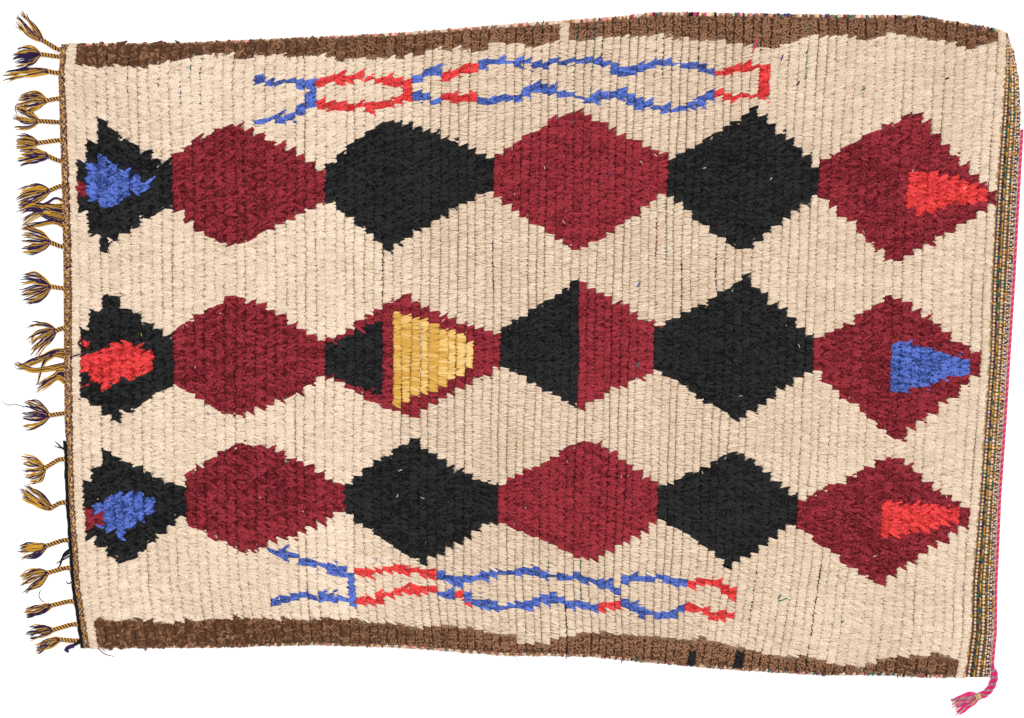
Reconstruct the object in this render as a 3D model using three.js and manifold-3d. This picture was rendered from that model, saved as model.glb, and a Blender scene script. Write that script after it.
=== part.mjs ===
// Azilal rug, laid flat: knotted pile in raised rows, a flat-woven end, a twined end binding, two edge cords
// and a row of tassels. Millimetres, +Z up. The underside lies on z = 0, the warps run along X, and the
// origin is under the middle of the pile.
import * as THREE from 'three';
import { mergeVertices } from 'three/addons/utils/BufferGeometryUtils.js';
import Module from 'manifold-3d';

const wasm = await Module();
wasm.setup();

const { lerp, clamp, degToRad, smoothstep } = THREE.MathUtils;
const TURN = 2 * Math.PI;

// Clearance between neighbouring pieces, and the distance under which two corners are one
const GAP = 0.3;
const MERGE_DISTANCE = 1e-4;

// Pile rows: each is a ridge across the rug, beaten closer together in the middle than at the ends
const ROW_COUNT = 98;
const ROW_CROWDING = 0.1;
const ROW_CROWDING_START = 0.076;
const CREST_HEIGHT = 15;
const GROOVE_HEIGHT = 9;
const CREST_OVERHANG = 2.5;
const HEIGHT_UNEVENNESS = 1.2;
const EDGE_UNEVENNESS = 1.5;
const SELVEDGE_HEIGHT = 6;

// Near one corner the rows bend towards the tasselled end
const BEND = { shift: 26, along: 0.78, reach: 0.13, startsAt: -380, endsAt: -600 };

// Flat-woven end beyond the last row of pile
const FLAT_HEIGHT = 4;
const FLAT_STATIONS = [0.05, 0.5, 1];

// Stations across the width, close together at the selvedges where the pile rounds down
const STATIONS_ACROSS = 12;
const SELVEDGE_SHARE = 0.012;

// How far the two selvedges stand from the centre line, along the length
const SELVEDGES = [
  { x: -850, top: 550, bottom: -560 },
  { x: -610, top: 553, bottom: -555 },
  { x: -420, top: 562, bottom: -548 },
  { x: -240, top: 571, bottom: -553 },
  { x: -55, top: 586, bottom: -567 },
  { x: 130, top: 599, bottom: -570 },
  { x: 220, top: 609, bottom: -579 },
  { x: 400, top: 606, bottom: -592 },
  { x: 590, top: 603, bottom: -604 },
  { x: 680, top: 605, bottom: -603 },
  { x: 750, top: 596, bottom: -607 },
  { x: 825, top: 583, bottom: -608 },
  { x: 850, top: 570, bottom: -608 },
  { x: 880, top: 530, bottom: -608 },
];

// Where the pile starts, where it ends and where the flat weave ends, across the width
const ENDS = [
  { y: -608, start: -800, pileEnd: 797, flatEnd: 843 },
  { y: -526, start: -811, pileEnd: 809, flatEnd: 850 },
  { y: -440, start: -824, pileEnd: 810, flatEnd: 850 },
  { y: -275, start: -835, pileEnd: 824, flatEnd: 857 },
  { y: -132, start: -839, pileEnd: 834, flatEnd: 867 },
  { y: -17, start: -840, pileEnd: 842, flatEnd: 874 },
  { y: 126, start: -841, pileEnd: 846, flatEnd: 883 },
  { y: 277, start: -844, pileEnd: 854, flatEnd: 891 },
  { y: 420, start: -849, pileEnd: 865, flatEnd: 899 },
  { y: 490, start: -852, pileEnd: 870, flatEnd: 895 },
  { y: 570, start: -846, pileEnd: 874, flatEnd: 880 },
];

// End binding and edge cords
const BINDING_WIDTH = 11;
const BINDING_HEIGHT = 10;
const BINDING_LUMP = 0.8;
const BLACK_CORD = { width: 9, height: 9, from: -556, to: -174 };
const MAGENTA_CORD = { width: 6, height: 6, from: -590, to: 394 };
const STEPS_PER_STATION = 4;
const SHORTEST_STEP = 1;
const CORD_SIDES = 6;

// Half-round profile of a sewn edge piece, in shares of its width and height
const EDGE_PROFILE = [
  { over: 0, up: 0 },
  { over: 0, up: 0.6 },
  { over: 0.3, up: 1 },
  { over: 0.7, up: 1 },
  { over: 1, up: 0.6 },
  { over: 1, up: 0 },
];

// Free tail of the magenta cord, from just past the corner of the flat weave to its knot
const TAIL_ROUTE = [
  { x: 850, y: -606 },
  { x: 844, y: -626 },
  { x: 833, y: -638 },
  { x: 820, y: -643 },
];
const TAIL_STEPS = 6;
const TAIL_BRUSH = { brush: 52, lie: -19, fan: 26, strands: 8 };

// Tassels: a plied cord leads out of the binding to a knot, and a brush of loose strands lies beyond it.
// Angles are in degrees from straight out, towards +Y.
const TASSEL_CORD_RADIUS = 2.8;
const KNOT = { radius: 5.5, flattening: 0.75 };
const TASSEL_STRAIGHT = 5;
const TASSEL_CORD_STEPS = 3;
const STRAND = {
  width: 2.6,
  height: 2.4,
  rootWidth: 0.8,
  tipWidth: 1.4,
  rootSpacing: 0.9,
  fullestAt: 0.6,
  apart: 0.8,
  curl: 2,
  shorter: 0.2,
};
const TASSELS = [
  { y: 541, cord: 39, lead: 28, brush: 66, lie: 42, fan: 16, strands: 7 },
  { y: 528, cord: 37, lead: 7, brush: 50, lie: -3, fan: 38, strands: 8 },
  { y: 498, cord: 20, lead: 9, brush: 82, lie: -1, fan: 8, strands: 6 },
  { y: 451, cord: 24, lead: -9, brush: 56, lie: 3, fan: 34, strands: 8 },
  { y: 408, cord: 40, lead: 3, brush: 48, lie: 5, fan: 34, strands: 7 },
  { y: 375, cord: 43, lead: -7, brush: 42, lie: 10, fan: 24, strands: 6 },
  { y: 337, cord: 26, lead: 20, brush: 58, lie: 5, fan: 20, strands: 8 },
  { y: 291, cord: 26, lead: -20, brush: 62, lie: -6, fan: 28, strands: 8 },
  { y: 180, cord: 27, lead: 19, brush: 54, lie: 1, fan: 42, strands: 9 },
  { y: 104, cord: 26, lead: 8, brush: 58, lie: -4, fan: 50, strands: 9 },
  { y: 31, cord: 17, lead: -18, brush: 56, lie: -9, fan: 38, strands: 8 },
  { y: -125, cord: 30, lead: -7, brush: 50, lie: 4, fan: 50, strands: 8 },
  { y: -209, cord: 34, lead: -28, brush: 42, lie: -16, fan: 60, strands: 8 },
  { y: -288, cord: 25, lead: -26, brush: 66, lie: 35, fan: 18, strands: 7 },
  { y: -357, cord: 38, lead: -17, brush: 52, lie: -22, fan: 24, strands: 8 },
  { y: -408, cord: 38, lead: -14, brush: 56, lie: -21, fan: 32, strands: 8 },
  { y: -469, cord: 38, lead: -12, brush: 52, lie: -25, fan: 11, strands: 7 },
  { y: -511, cord: 42, lead: -15, brush: 48, lie: -4, fan: 20, strands: 7 },
  { y: -541, cord: 32, lead: 4, brush: 50, lie: -20, fan: 14, strands: 6 },
];

// Two tassels have come undone: their strands leave a short strip along the binding one by one.
const UNDONE_STRIP = { depth: 5, height: 4 };
const UNDONE_TASSELS = [
  { y: 240, strip: 46, brush: 88, lie: 0, tips: 34, strands: 9 },
  { y: -41, strip: 58, brush: 90, lie: 2, tips: 44, strands: 9 },
];

// Where each piece starts in the run of repeatable unevenness
const SEEDS = { perTassel: 40, undone: 1000, tail: 900, blackCord: 300 };

const COLOURS = {
  pile: 0xe9d8bb,
  binding: 0x5e4226,
  black: 0x1e1f22,
  magenta: 0xd0356f,
  tassel: 0xa87a22,
};

// The value of one column of a table, read between its rows.
function readTable(table, key, column, at) {
  const found = table.findIndex((row) => row[key] >= at);
  const upper = found < 0 ? table.length - 1 : Math.max(found, 1);
  const [low, high] = [table[upper - 1], table[upper]];
  const share = clamp((at - low[key]) / (high[key] - low[key]), 0, 1);
  return lerp(low[column], high[column], share);
}

// A repeatable unevenness between -1 and 1.
function uneven(seed) {
  const folded = Math.sin(seed * 12.9898 + 4.1414) * 43758.5453;
  return 2 * (folded - Math.floor(folded)) - 1;
}

// Place of a row along the pile, from 0 at the tasselled end to 1 at the flat weave.
function rowPlace(share) {
  const swing = Math.sin(TURN * (share - ROW_CROWDING_START)) + Math.sin(TURN * ROW_CROWDING_START);
  return share + (ROW_CROWDING * swing) / TURN;
}

// Sideways bend of the rows near the corner.
function rowBend(along, y) {
  const near = Math.exp(-(((along - BEND.along) / BEND.reach) ** 2));
  return -BEND.shift * near * (1 - smoothstep(y, BEND.endsAt, BEND.startsAt));
}

// A point on the rug's plan: along is 0 to 1 over the pile, flat is 0 to 1 over the flat weave, and across
// is 0 to 1 from one selvedge to the other.
function planPoint(along, flat, across, overhang) {
  const at = (y) => {
    const start = readTable(ENDS, 'y', 'start', y);
    const pileEnd = readTable(ENDS, 'y', 'pileEnd', y);
    const flatEnd = readTable(ENDS, 'y', 'flatEnd', y);
    return lerp(start, pileEnd, along) + flat * (flatEnd - pileEnd) + rowBend(along, y);
  };
  const middle = at(0);
  const bottom = readTable(SELVEDGES, 'x', 'bottom', middle) - overhang;
  const top = readTable(SELVEDGES, 'x', 'top', middle) + overhang;
  const y = lerp(bottom, top, across);
  return new THREE.Vector2(at(y), y);
}

// Shares of the width at which the rug is measured.
function stationsAcross() {
  const shares = [0];
  for (let step = 0; step <= STATIONS_ACROSS - 2; step++) {
    shares.push(lerp(SELVEDGE_SHARE, 1 - SELVEDGE_SHARE, step / (STATIONS_ACROSS - 2)));
  }
  shares.push(1);
  return shares;
}

// The grooves and crests of the pile rows, then the flat weave.
function clothColumns() {
  const columns = [];
  for (let index = 0; index <= 2 * ROW_COUNT; index++) {
    const isCrest = index % 2 === 1;
    columns.push({
      along: rowPlace(index / (2 * ROW_COUNT)),
      flat: 0,
      height: isCrest ? CREST_HEIGHT : GROOVE_HEIGHT,
      edgeHeight: SELVEDGE_HEIGHT,
      overhang: isCrest ? CREST_OVERHANG + EDGE_UNEVENNESS * uneven(index) : 0,
    });
  }
  for (const flat of FLAT_STATIONS) {
    columns.push({ along: 1, flat, height: FLAT_HEIGHT, edgeHeight: FLAT_HEIGHT, overhang: 0 });
  }
  return columns;
}

// The rug as one closed sheet: a ridged top, upright edges and a flat underside.
function clothGeometry() {
  const columns = clothColumns();
  const shares = stationsAcross();
  const rows = shares.length;
  const points = [];
  const faces = [];
  columns.forEach((column, c) => {
    shares.forEach((share, r) => {
      const atEdge = r === 0 || r === rows - 1;
      const roughness = column.flat > 0 ? 0 : HEIGHT_UNEVENNESS * uneven(c * rows + r);
      const plan = planPoint(column.along, column.flat, share, column.overhang);
      const height = atEdge ? column.edgeHeight : column.height + roughness;
      points.push(new THREE.Vector3(plan.x, plan.y, height));
    });
  });
  const at = (c, r) => c * rows + r;
  const lastColumn = columns.length - 1;
  for (let c = 0; c < lastColumn; c++) {
    for (let r = 0; r < rows - 1; r++) {
      faces.push([at(c, r), at(c + 1, r), at(c + 1, r + 1)]);
      faces.push([at(c, r), at(c + 1, r + 1), at(c, r + 1)]);
    }
  }
  const rim = [];
  for (let c = 0; c < lastColumn; c++) rim.push(at(c, 0));
  for (let r = 0; r < rows - 1; r++) rim.push(at(lastColumn, r));
  for (let c = lastColumn; c > 0; c--) rim.push(at(c, rows - 1));
  for (let r = rows - 1; r > 0; r--) rim.push(at(0, r));
  const base = rim.map((index) => {
    points.push(points[index].clone().setZ(0));
    return points.length - 1;
  });
  rim.forEach((index, k) => {
    const next = (k + 1) % rim.length;
    faces.push([base[k], base[next], rim[next]]);
    faces.push([base[k], rim[next], index]);
  });
  const outline = base.map((index) => new THREE.Vector2(points[index].x, points[index].y));
  for (const [a, b, c] of THREE.ShapeUtils.triangulateShape(outline, [])) {
    faces.push([base[a], base[c], base[b]]);
  }
  return geometryOf(points, faces);
}

function geometryOf(points, faces) {
  const geometry = new THREE.BufferGeometry().setFromPoints(points);
  geometry.setIndex(faces.flat());
  return geometry;
}

// A closed solid through a run of sections that all have the same number of points.
function loft(sections) {
  const sides = sections[0].length;
  const points = sections.flat();
  const faces = [];
  const last = (sections.length - 1) * sides;
  for (let s = 0; s < last; s += sides) {
    for (let k = 0; k < sides; k++) {
      const next = (k + 1) % sides;
      faces.push([s + k, s + next, s + sides + next]);
      faces.push([s + k, s + sides + next, s + sides + k]);
    }
  }
  for (let k = 1; k < sides - 1; k++) {
    faces.push([0, k + 1, k]);
    faces.push([last, last + k, last + k + 1]);
  }
  return geometryOf(points, faces);
}

// The rug's own end, station by station, with steps between the stations.
function endLine(along, flat) {
  const stations = stationsAcross().map((share) => planPoint(along, flat, share, 0));
  const line = [];
  for (let s = 0; s < stations.length - 1; s++) {
    for (let step = 0; step < STEPS_PER_STATION; step++) {
      line.push(stations[s].clone().lerp(stations[s + 1], step / STEPS_PER_STATION));
    }
  }
  line.push(stations[stations.length - 1]);
  return line;
}

// A point of a line at a place across the width.
function pointAt(line, y) {
  return new THREE.Vector2(readTable(line, 'y', 'x', y), y);
}

// The part of a line between two places across the width.
function stretch(line, from, to) {
  const between = line.filter((point) => point.y > from + SHORTEST_STEP && point.y < to - SHORTEST_STEP);
  return [pointAt(line, from), ...between, pointAt(line, to)];
}

// Section of a sewn edge piece that stands on the floor, from its face near the rug to its far face.
function edgeSection(near, far, y, height) {
  const width = far - near;
  const section = EDGE_PROFILE.map(({ over, up }) => new THREE.Vector3(near + over * width, y, up * height));
  return width > 0 ? section : section.reverse();
}

const startLine = endLine(0, 0);
const flatLine = endLine(1, 1);

function bindingGeometry() {
  const sections = startLine.map((point, index) => {
    const near = point.x - GAP;
    const height = BINDING_HEIGHT + BINDING_LUMP * uneven(index);
    return edgeSection(near, near - BINDING_WIDTH, point.y, height);
  });
  return loft(sections);
}

const BINDING_OUTSIDE = GAP + BINDING_WIDTH;

function blackCordGeometry() {
  const line = stretch(startLine, BLACK_CORD.from, BLACK_CORD.to);
  const sections = line.map((point, index) => {
    const near = point.x - BINDING_OUTSIDE - GAP;
    const height = BLACK_CORD.height + BINDING_LUMP * uneven(index + SEEDS.blackCord);
    return edgeSection(near, near - BLACK_CORD.width, point.y, height);
  });
  return loft(sections);
}

// Outside face of the tasselled end at a place across the width.
function outsideAt(y) {
  const hasBlackCord = y > BLACK_CORD.from && y < BLACK_CORD.to;
  return pointAt(startLine, y).x - BINDING_OUTSIDE - (hasBlackCord ? GAP + BLACK_CORD.width : 0);
}

// A many-sided section for cords.
function roundSection(radius, sides) {
  const corners = [];
  for (let k = 0; k < sides; k++) {
    const angle = (TURN * k) / sides;
    corners.push(new THREE.Vector2(radius * Math.cos(angle), radius * Math.sin(angle)));
  }
  return new THREE.Shape(corners);
}

function extrudeAlong(shape, points, steps) {
  const extrudePath = new THREE.CatmullRomCurve3(points);
  return new THREE.ExtrudeGeometry(shape, { steps, extrudePath });
}

function solidOf(geometry) {
  const bare = geometry.clone();
  bare.deleteAttribute('normal');
  bare.deleteAttribute('uv');
  const merged = mergeVertices(bare, MERGE_DISTANCE);
  const vertProperties = new Float32Array(merged.attributes.position.array);
  const triVerts = new Uint32Array(merged.index.array);
  return new wasm.Manifold(new wasm.Mesh({ numProp: 3, vertProperties, triVerts }));
}

function join(geometries) {
  const [first, ...others] = geometries.map(solidOf);
  const mesh = others.reduce((whole, piece) => whole.add(piece), first).getMesh();
  const geometry = new THREE.BufferGeometry();
  geometry.setAttribute('position', new THREE.BufferAttribute(mesh.vertProperties, mesh.numProp));
  geometry.setIndex(new THREE.BufferAttribute(mesh.triVerts, 1));
  return geometry;
}

// Unit direction in plan for an angle from straight out.
function heading(degrees) {
  const angle = degToRad(degrees);
  return new THREE.Vector3(-Math.cos(angle), Math.sin(angle), 0);
}

// One three-sided strand whose flat side lies on the floor: narrow where it is tied, fullest in the middle.
function strandGeometry(start, tip, curl, fullWidth) {
  const run = tip.clone().sub(start);
  const aside = new THREE.Vector3(-run.y, run.x, 0).normalize();
  const middle = start.clone().addScaledVector(run, STRAND.fullestAt).addScaledVector(aside, curl);
  const section = (centre, width) => [
    centre.clone().addScaledVector(aside, width / 2),
    centre.clone().setZ(STRAND.height),
    centre.clone().addScaledVector(aside, -width / 2),
  ];
  return loft([section(start, STRAND.rootWidth), section(middle, fullWidth), section(tip, STRAND.tipWidth)]);
}

// Share of a brush's length that one of its strands reaches.
function strandLength(seed) {
  return 1 - STRAND.shorter * 0.5 * (1 - uneven(seed));
}

// A brush of strands that fans out from a knot.
function brushGeometries(knot, { brush, lie, fan, strands }, seed) {
  const out = heading(lie);
  const aside = new THREE.Vector3(out.y, -out.x, 0);
  const spread = (brush * STRAND.fullestAt * degToRad(fan)) / (strands - 1);
  const fullWidth = Math.min(STRAND.width, STRAND.apart * (STRAND.rootSpacing + spread));
  const geometries = [];
  for (let k = 0; k < strands; k++) {
    const share = k / (strands - 1) - 0.5;
    const start = knot.clone().setZ(0);
    start.addScaledVector(aside, share * (strands - 1) * STRAND.rootSpacing);
    const length = brush * strandLength(seed + k);
    const tip = start.clone().addScaledVector(heading(lie + share * fan), length);
    geometries.push(strandGeometry(start, tip, STRAND.curl * share, fullWidth));
  }
  return geometries;
}

function knotGeometry(knot) {
  const geometry = new THREE.IcosahedronGeometry(KNOT.radius, 0);
  geometry.scale(1, 1, KNOT.flattening);
  return geometry.translate(knot.x, knot.y, KNOT.radius * KNOT.flattening);
}

function tasselGeometry(row, seed) {
  const face = Math.min(outsideAt(row.y - TASSEL_CORD_RADIUS), outsideAt(row.y + TASSEL_CORD_RADIUS));
  const root = new THREE.Vector3(face - GAP, row.y, TASSEL_CORD_RADIUS);
  const straight = root.clone().addScaledVector(heading(0), TASSEL_STRAIGHT);
  const knot = root.clone().addScaledVector(heading(row.lead), row.cord);
  const cord = extrudeAlong(
    roundSection(TASSEL_CORD_RADIUS, CORD_SIDES),
    [root, straight, knot],
    TASSEL_CORD_STEPS,
  );
  return join([cord, knotGeometry(knot), ...brushGeometries(knot, row, seed)]);
}

function undoneTasselGeometry(row, seed) {
  const ends = [row.y - row.strip / 2, row.y + row.strip / 2];
  const sections = stretch(startLine, ends[0], ends[1]).map((point) => {
    const near = point.x - BINDING_OUTSIDE - GAP;
    return edgeSection(near, near - UNDONE_STRIP.depth, point.y, UNDONE_STRIP.height);
  });
  const strands = [];
  for (let k = 0; k < row.strands; k++) {
    const share = k / (row.strands - 1) - 0.5;
    const rootY = row.y + share * (row.strip - 2 * STRAND.width);
    const start = new THREE.Vector3(outsideAt(rootY) - GAP - UNDONE_STRIP.depth / 2, rootY, 0);
    const middle = new THREE.Vector3(start.x, row.y + share * row.tips, 0);
    const length = row.brush * strandLength(seed + k);
    const tip = middle.addScaledVector(heading(row.lie), length);
    strands.push(strandGeometry(start, tip, 0.5 * STRAND.curl * uneven(seed - k), STRAND.width));
  }
  return join([loft(sections), ...strands]);
}

function magentaCordGeometry() {
  const line = stretch(flatLine, MAGENTA_CORD.from, MAGENTA_CORD.to);
  const sections = line.map((point) => {
    const near = point.x + GAP;
    return edgeSection(near, near + MAGENTA_CORD.width, point.y, MAGENTA_CORD.height);
  });
  const radius = MAGENTA_CORD.width / 2;
  const corner = new THREE.Vector3(line[0].x + GAP + radius, line[0].y + radius, radius);
  const route = [corner, ...TAIL_ROUTE.map(({ x, y }) => new THREE.Vector3(x, y, radius))];
  const knot = route[route.length - 1];
  const tail = extrudeAlong(roundSection(radius, CORD_SIDES), route, TAIL_STEPS);
  return join([loft(sections), tail, knotGeometry(knot), ...brushGeometries(knot, TAIL_BRUSH, SEEDS.tail)]);
}

function woolPiece(name, geometry, color) {
  const material = new THREE.MeshStandardMaterial({ color, roughness: 0.95, metalness: 0 });
  const piece = new THREE.Mesh(geometry, material);
  piece.name = name;
  return piece;
}

const rug = new THREE.Group();
rug.add(woolPiece('rug_cloth', clothGeometry(), COLOURS.pile));
rug.add(woolPiece('end_binding', bindingGeometry(), COLOURS.binding));
rug.add(woolPiece('black_edge_cord', blackCordGeometry(), COLOURS.black));
rug.add(woolPiece('magenta_end_cord', magentaCordGeometry(), COLOURS.magenta));

TASSELS.forEach((row, index) => {
  const name = `tassel_${String(index + 1).padStart(2, '0')}`;
  rug.add(woolPiece(name, tasselGeometry(row, SEEDS.perTassel * index), COLOURS.tassel));
});

UNDONE_TASSELS.forEach((row, index) => {
  const geometry = undoneTasselGeometry(row, SEEDS.undone + SEEDS.perTassel * index);
  rug.add(woolPiece(`undone_tassel_${index + 1}`, geometry, COLOURS.tassel));
});

export default rug;
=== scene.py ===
"""Dresses an azilal rug, laid flat: knotted pile, a flat-woven end, a twined binding, cords and tassels."""

import math
from collections import namedtuple
from functools import partial

import bpy
import numpy as np
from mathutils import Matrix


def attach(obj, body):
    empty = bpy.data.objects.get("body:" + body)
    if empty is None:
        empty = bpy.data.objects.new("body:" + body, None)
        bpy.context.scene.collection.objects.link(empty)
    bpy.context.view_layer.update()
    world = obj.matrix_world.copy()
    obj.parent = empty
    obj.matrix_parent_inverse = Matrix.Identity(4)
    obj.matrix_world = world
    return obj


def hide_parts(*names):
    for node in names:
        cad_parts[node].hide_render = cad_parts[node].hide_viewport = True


bl_info = {
    "name": "Azilal Rug",
    "version": (1, 0, 0),
    "blender": (4, 5, 0),
    "location": "View3D > Sidebar > Rug",
    "description": "Knots, weaves and binds an azilal rug around its packed solids",
    "category": "Object",
}

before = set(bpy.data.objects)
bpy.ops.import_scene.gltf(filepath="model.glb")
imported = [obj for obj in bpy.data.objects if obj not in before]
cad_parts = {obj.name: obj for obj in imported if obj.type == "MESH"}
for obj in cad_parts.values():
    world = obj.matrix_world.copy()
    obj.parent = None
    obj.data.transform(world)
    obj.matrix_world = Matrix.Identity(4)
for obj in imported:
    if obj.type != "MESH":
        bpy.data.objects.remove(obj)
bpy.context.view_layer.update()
BODY = "root"
MM = 0.001
TURN = 2 * math.pi


def table(columns, *rows):
    """Rows of a table with named columns."""
    row_type = namedtuple("Row", columns)
    return tuple(row_type(*row) for row in rows)


# The rug's plan, in millimetres, as in the solids. The warps run along X and the rows of knots along Y.
ROW_COUNT = 98
ROW_CROWDING = 0.1
ROW_CROWDING_START = 0.076
BEND_SHIFT = 26
BEND_ALONG = 0.78
BEND_REACH = 0.13
BEND_STARTS_AT = -380
BEND_ENDS_AT = -600

SELVEDGES = table(
    "x top bottom",
    (-850, 550, -554), (-610, 553, -553), (-420, 562, -548), (-240, 571, -553), (-55, 586, -567),
    (130, 599, -570), (220, 609, -579), (400, 606, -592), (590, 603, -604), (680, 603, -603),
    (750, 591, -607), (825, 578, -608), (850, 565, -608), (880, 530, -608),
)
ENDS = table(
    "y start pile_end flat_end",
    (-608, -800, 797, 843), (-526, -811, 809, 850), (-440, -824, 810, 850), (-275, -835, 824, 857),
    (-132, -839, 834, 867), (-17, -840, 842, 874), (126, -841, 846, 883), (277, -844, 854, 891),
    (420, -849, 865, 899), (490, -852, 870, 895), (570, -846, 874, 880),
)

# The weaver's chart: rows are counted from the tasselled end, heights are in millimetres from the middle
# line. Each lozenge has its first and last row, its upper and lower points, its waists where it starts and
# ends, and how full its sides are: above before and after its point, and below before and after.
LOZENGES = table(
    "yarn first last top_row top low_row low start_waist end_waist bellies",
    ("black", 1, 10, 3.5, 408, 3.5, 170, (305, 262), (315, 270), (1.2, 0.85, 1.15, 0.85)),
    ("blue", 2, 6, 3.2, 346, 3.8, 245, (316, 272), (303, 285), (1.1, 1.1, 1.2, 1.0)),
    ("burgundy", 10, 24, 16, 405, 15.5, 180, (340, 255), (315, 265), (1.5, 1.25, 1.5, 1.25)),
    ("black", 25, 42, 31.5, 410, 32, 170, (320, 265), (340, 286), (1.4, 1.3, 1.05, 0.75)),
    ("burgundy", 43, 62, 52.5, 430, 53, 175, (340, 275), (345, 280), (1.35, 0.9, 1.2, 1.15)),
    ("black", 63, 79, 72.5, 432, 72, 170, (334, 280), (322, 275), (0.92, 1.0, 1.2, 0.95)),
    ("burgundy", 80, 97, 90, 422, 88.3, 148, (333, 277), (272, 262), (1.35, 0.85, 1.05, 1.05)),
    ("red", 89, 96, 91.5, 316, 90.5, 240, (316, 252), (285, 262), (1.0, 1.0, 1.2, 0.9)),
    ("black", 1, 10, 4.0, 104, 4.6, -140, (14, -85), (0, -62), (1.05, 0.7, 1.15, 0.85)),
    ("red", 1, 7, 5.2, 8, 3.3, -78, (-18, -42), (-15, -45), (1.0, 1.5, 1.3, 1.1)),
    ("burgundy", 10, 24, 16, 88, 15.5, -125, (28, -70), (0, -55), (1.1, 1.25, 1.35, 1.75)),
    ("burgundy", 25, 43, 33.5, 90, 34.5, -130, (0, -55), (15, -40), (1.25, 0.72, 1.3, 0.85)),
    ("black", 25, 30, 31, 50, 31, -95, (0, -50), (50, -95), (1.0, 1.0, 1.0, 1.0)),
    ("yellow", 32, 40, 32, 65, 32.5, -110, (65, -110), (5, -40), (1.0, 1.15, 1.0, 1.15)),
    ("black", 44, 52, 52.5, 115, 53, -115, (26, -35), (115, -115), (1.05, 1.0, 1.05, 1.0)),
    ("burgundy", 53, 62, 53, 115, 53.5, -120, (115, -115), (30, -40), (1.0, 1.05, 1.0, 0.8)),
    ("black", 62, 79, 72.5, 125, 72, -137, (32, -40), (10, -45), (0.9, 0.95, 1.1, 1.0)),
    ("burgundy", 80, 96, 87.8, 98, 89, -172, (8, -45), (-20, -50), (0.8, 0.95, 1.0, 1.15)),
    ("blue", 88, 95, 89, 5, 89.5, -85, (5, -85), (-25, -50), (1.0, 1.0, 1.0, 1.0)),
    ("black", 1, 10, 3.7, -190, 4.7, -402, (-264, -342), (-262, -310), (1.05, 0.85, 1.1, 0.9)),
    ("blue", 2, 7, 4, -269, 4.5, -351, (-292, -325), (-278, -302), (1.3, 2.5, 1.2, 1.0)),
    ("burgundy", 11, 26, 18, -180, 17, -375, (-240, -320), (-260, -300), (1.7, 1.25, 1.5, 1.3)),
    ("black", 27, 43, 34.5, -175, 35.5, -400, (-260, -305), (-262, -315), (1.3, 0.75, 1.1, 1.0)),
    ("burgundy", 44, 62, 54, -175, 55.5, -395, (-260, -320), (-260, -320), (1.05, 1.3, 1.15, 1.15)),
    ("black", 63, 78, 72, -190, 71.4, -410, (-260, -316), (-284, -320), (0.8, 1.05, 0.65, 1.2)),
    ("burgundy", 79, 96, 88.8, -195, 88.5, -435, (-284, -330), (-305, -328), (0.78, 0.9, 1.15, 0.95)),
    ("red", 88, 95, 88.5, -285, 89, -350, (-285, -350), (-300, -325), (1.0, 1.1, 1.0, 1.1)),
)
LOZENGE_EDGE_UNEVENNESS = 3.5
SHORTEST_SIDE = 0.5

# Chain lines beside the lozenges: each runs from one height to another and bows up or down between them.
CHAIN_LINES = table(
    "yarn first last start end bow",
    ("blue", 18, 23, 485, 475, 0), ("blue", 18, 23, 410, 455, -20), ("red", 24, 33, 475, 468, 16),
    ("red", 24, 33, 442, 454, -14), ("blue", 34, 36, 482, 502, 0), ("blue", 34, 36, 458, 445, 0),
    ("red", 37, 40, 486, 510, 0), ("red", 37, 40, 450, 455, 0), ("blue", 41, 47, 510, 510, 8),
    ("blue", 41, 47, 450, 475, -14), ("blue", 48, 56, 510, 505, 12), ("blue", 48, 56, 475, 460, -18),
    ("blue", 57, 67, 495, 500, 16), ("blue", 57, 67, 465, 455, -30), ("red", 68, 73, 495, 510, 0),
    ("red", 68, 73, 460, 455, -4), ("blue", 19, 26, -375, -415, 0), ("blue", 19, 26, -475, -465, 12),
    ("red", 28, 36, -415, -420, 8), ("red", 28, 36, -470, -445, 5), ("blue", 37, 39, -420, -435, 0),
    ("blue", 37, 38, -450, -460, 0), ("red", 39, 40, -455, -468, 0), ("blue", 40, 49, -430, -420, 12),
    ("blue", 40, 49, -460, -460, -18), ("blue", 50, 58, -420, -450, 8), ("blue", 50, 55, -460, -485, 0),
    ("red", 56, 58, -480, -470, 0), ("blue", 59, 66, -430, -435, 8), ("blue", 59, 66, -465, -480, -22),
    ("red", 67, 72, -440, -460, 16), ("red", 67, 72, -475, -495, -4),
)
CHAIN_HALF_WIDTHS = (3.2, 7)
CHAIN_LEAST_HALF_WIDTH = 2.3
CHAIN_WANDER = 3
CHAIN_FRAY = 2.5

# Short patches of another yarn within single rows
PATCHES = table(
    "yarn row low high",
    ("red", 1, -3, 8), ("red", 1, -78, -70), ("red", 73, 450, 510), ("red", 33, 452, 482),
    ("blue", 27, -475, -415), ("blue", 7, 280, 300), ("burgundy", 1, 270, 295),
    ("burgundy", 1, -336, -300), ("burgundy", 2, -328, -304), ("cream", 50, 540, 620),
    ("black", 68, -590, -562), ("black", 74, -600, -562),
)

# Heights of the brown borders' inner edges, where they turn
BORDER = "row height"
TOP_BORDER = table(
    BORDER,
    (1, 508), (7, 508), (14, 533), (16, 520), (18, 527), (24, 528), (26, 519), (34, 529), (35, 541),
    (41, 540), (42, 553), (46, 546), (57, 566), (62, 564), (74, 542), (78, 566), (84, 557), (86, 569),
    (89, 562), (94, 541), (96, 550),
)
BOTTOM_BORDER = table(
    BORDER,
    (1, -499), (8, -506), (12, -500), (18, -498), (26, -499), (34, -515), (38, -512), (45, -530),
    (46, -545), (49, -545), (51, -530), (55, -524), (66, -537), (69, -534), (79, -571), (81, -567),
    (87, -591), (89, -572), (94, -563), (96, -574),
)
BORDER_FIRST_ROW = 1
BORDER_LAST_ROW = 96
BORDER_UNEVENNESS = 2.5

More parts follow.
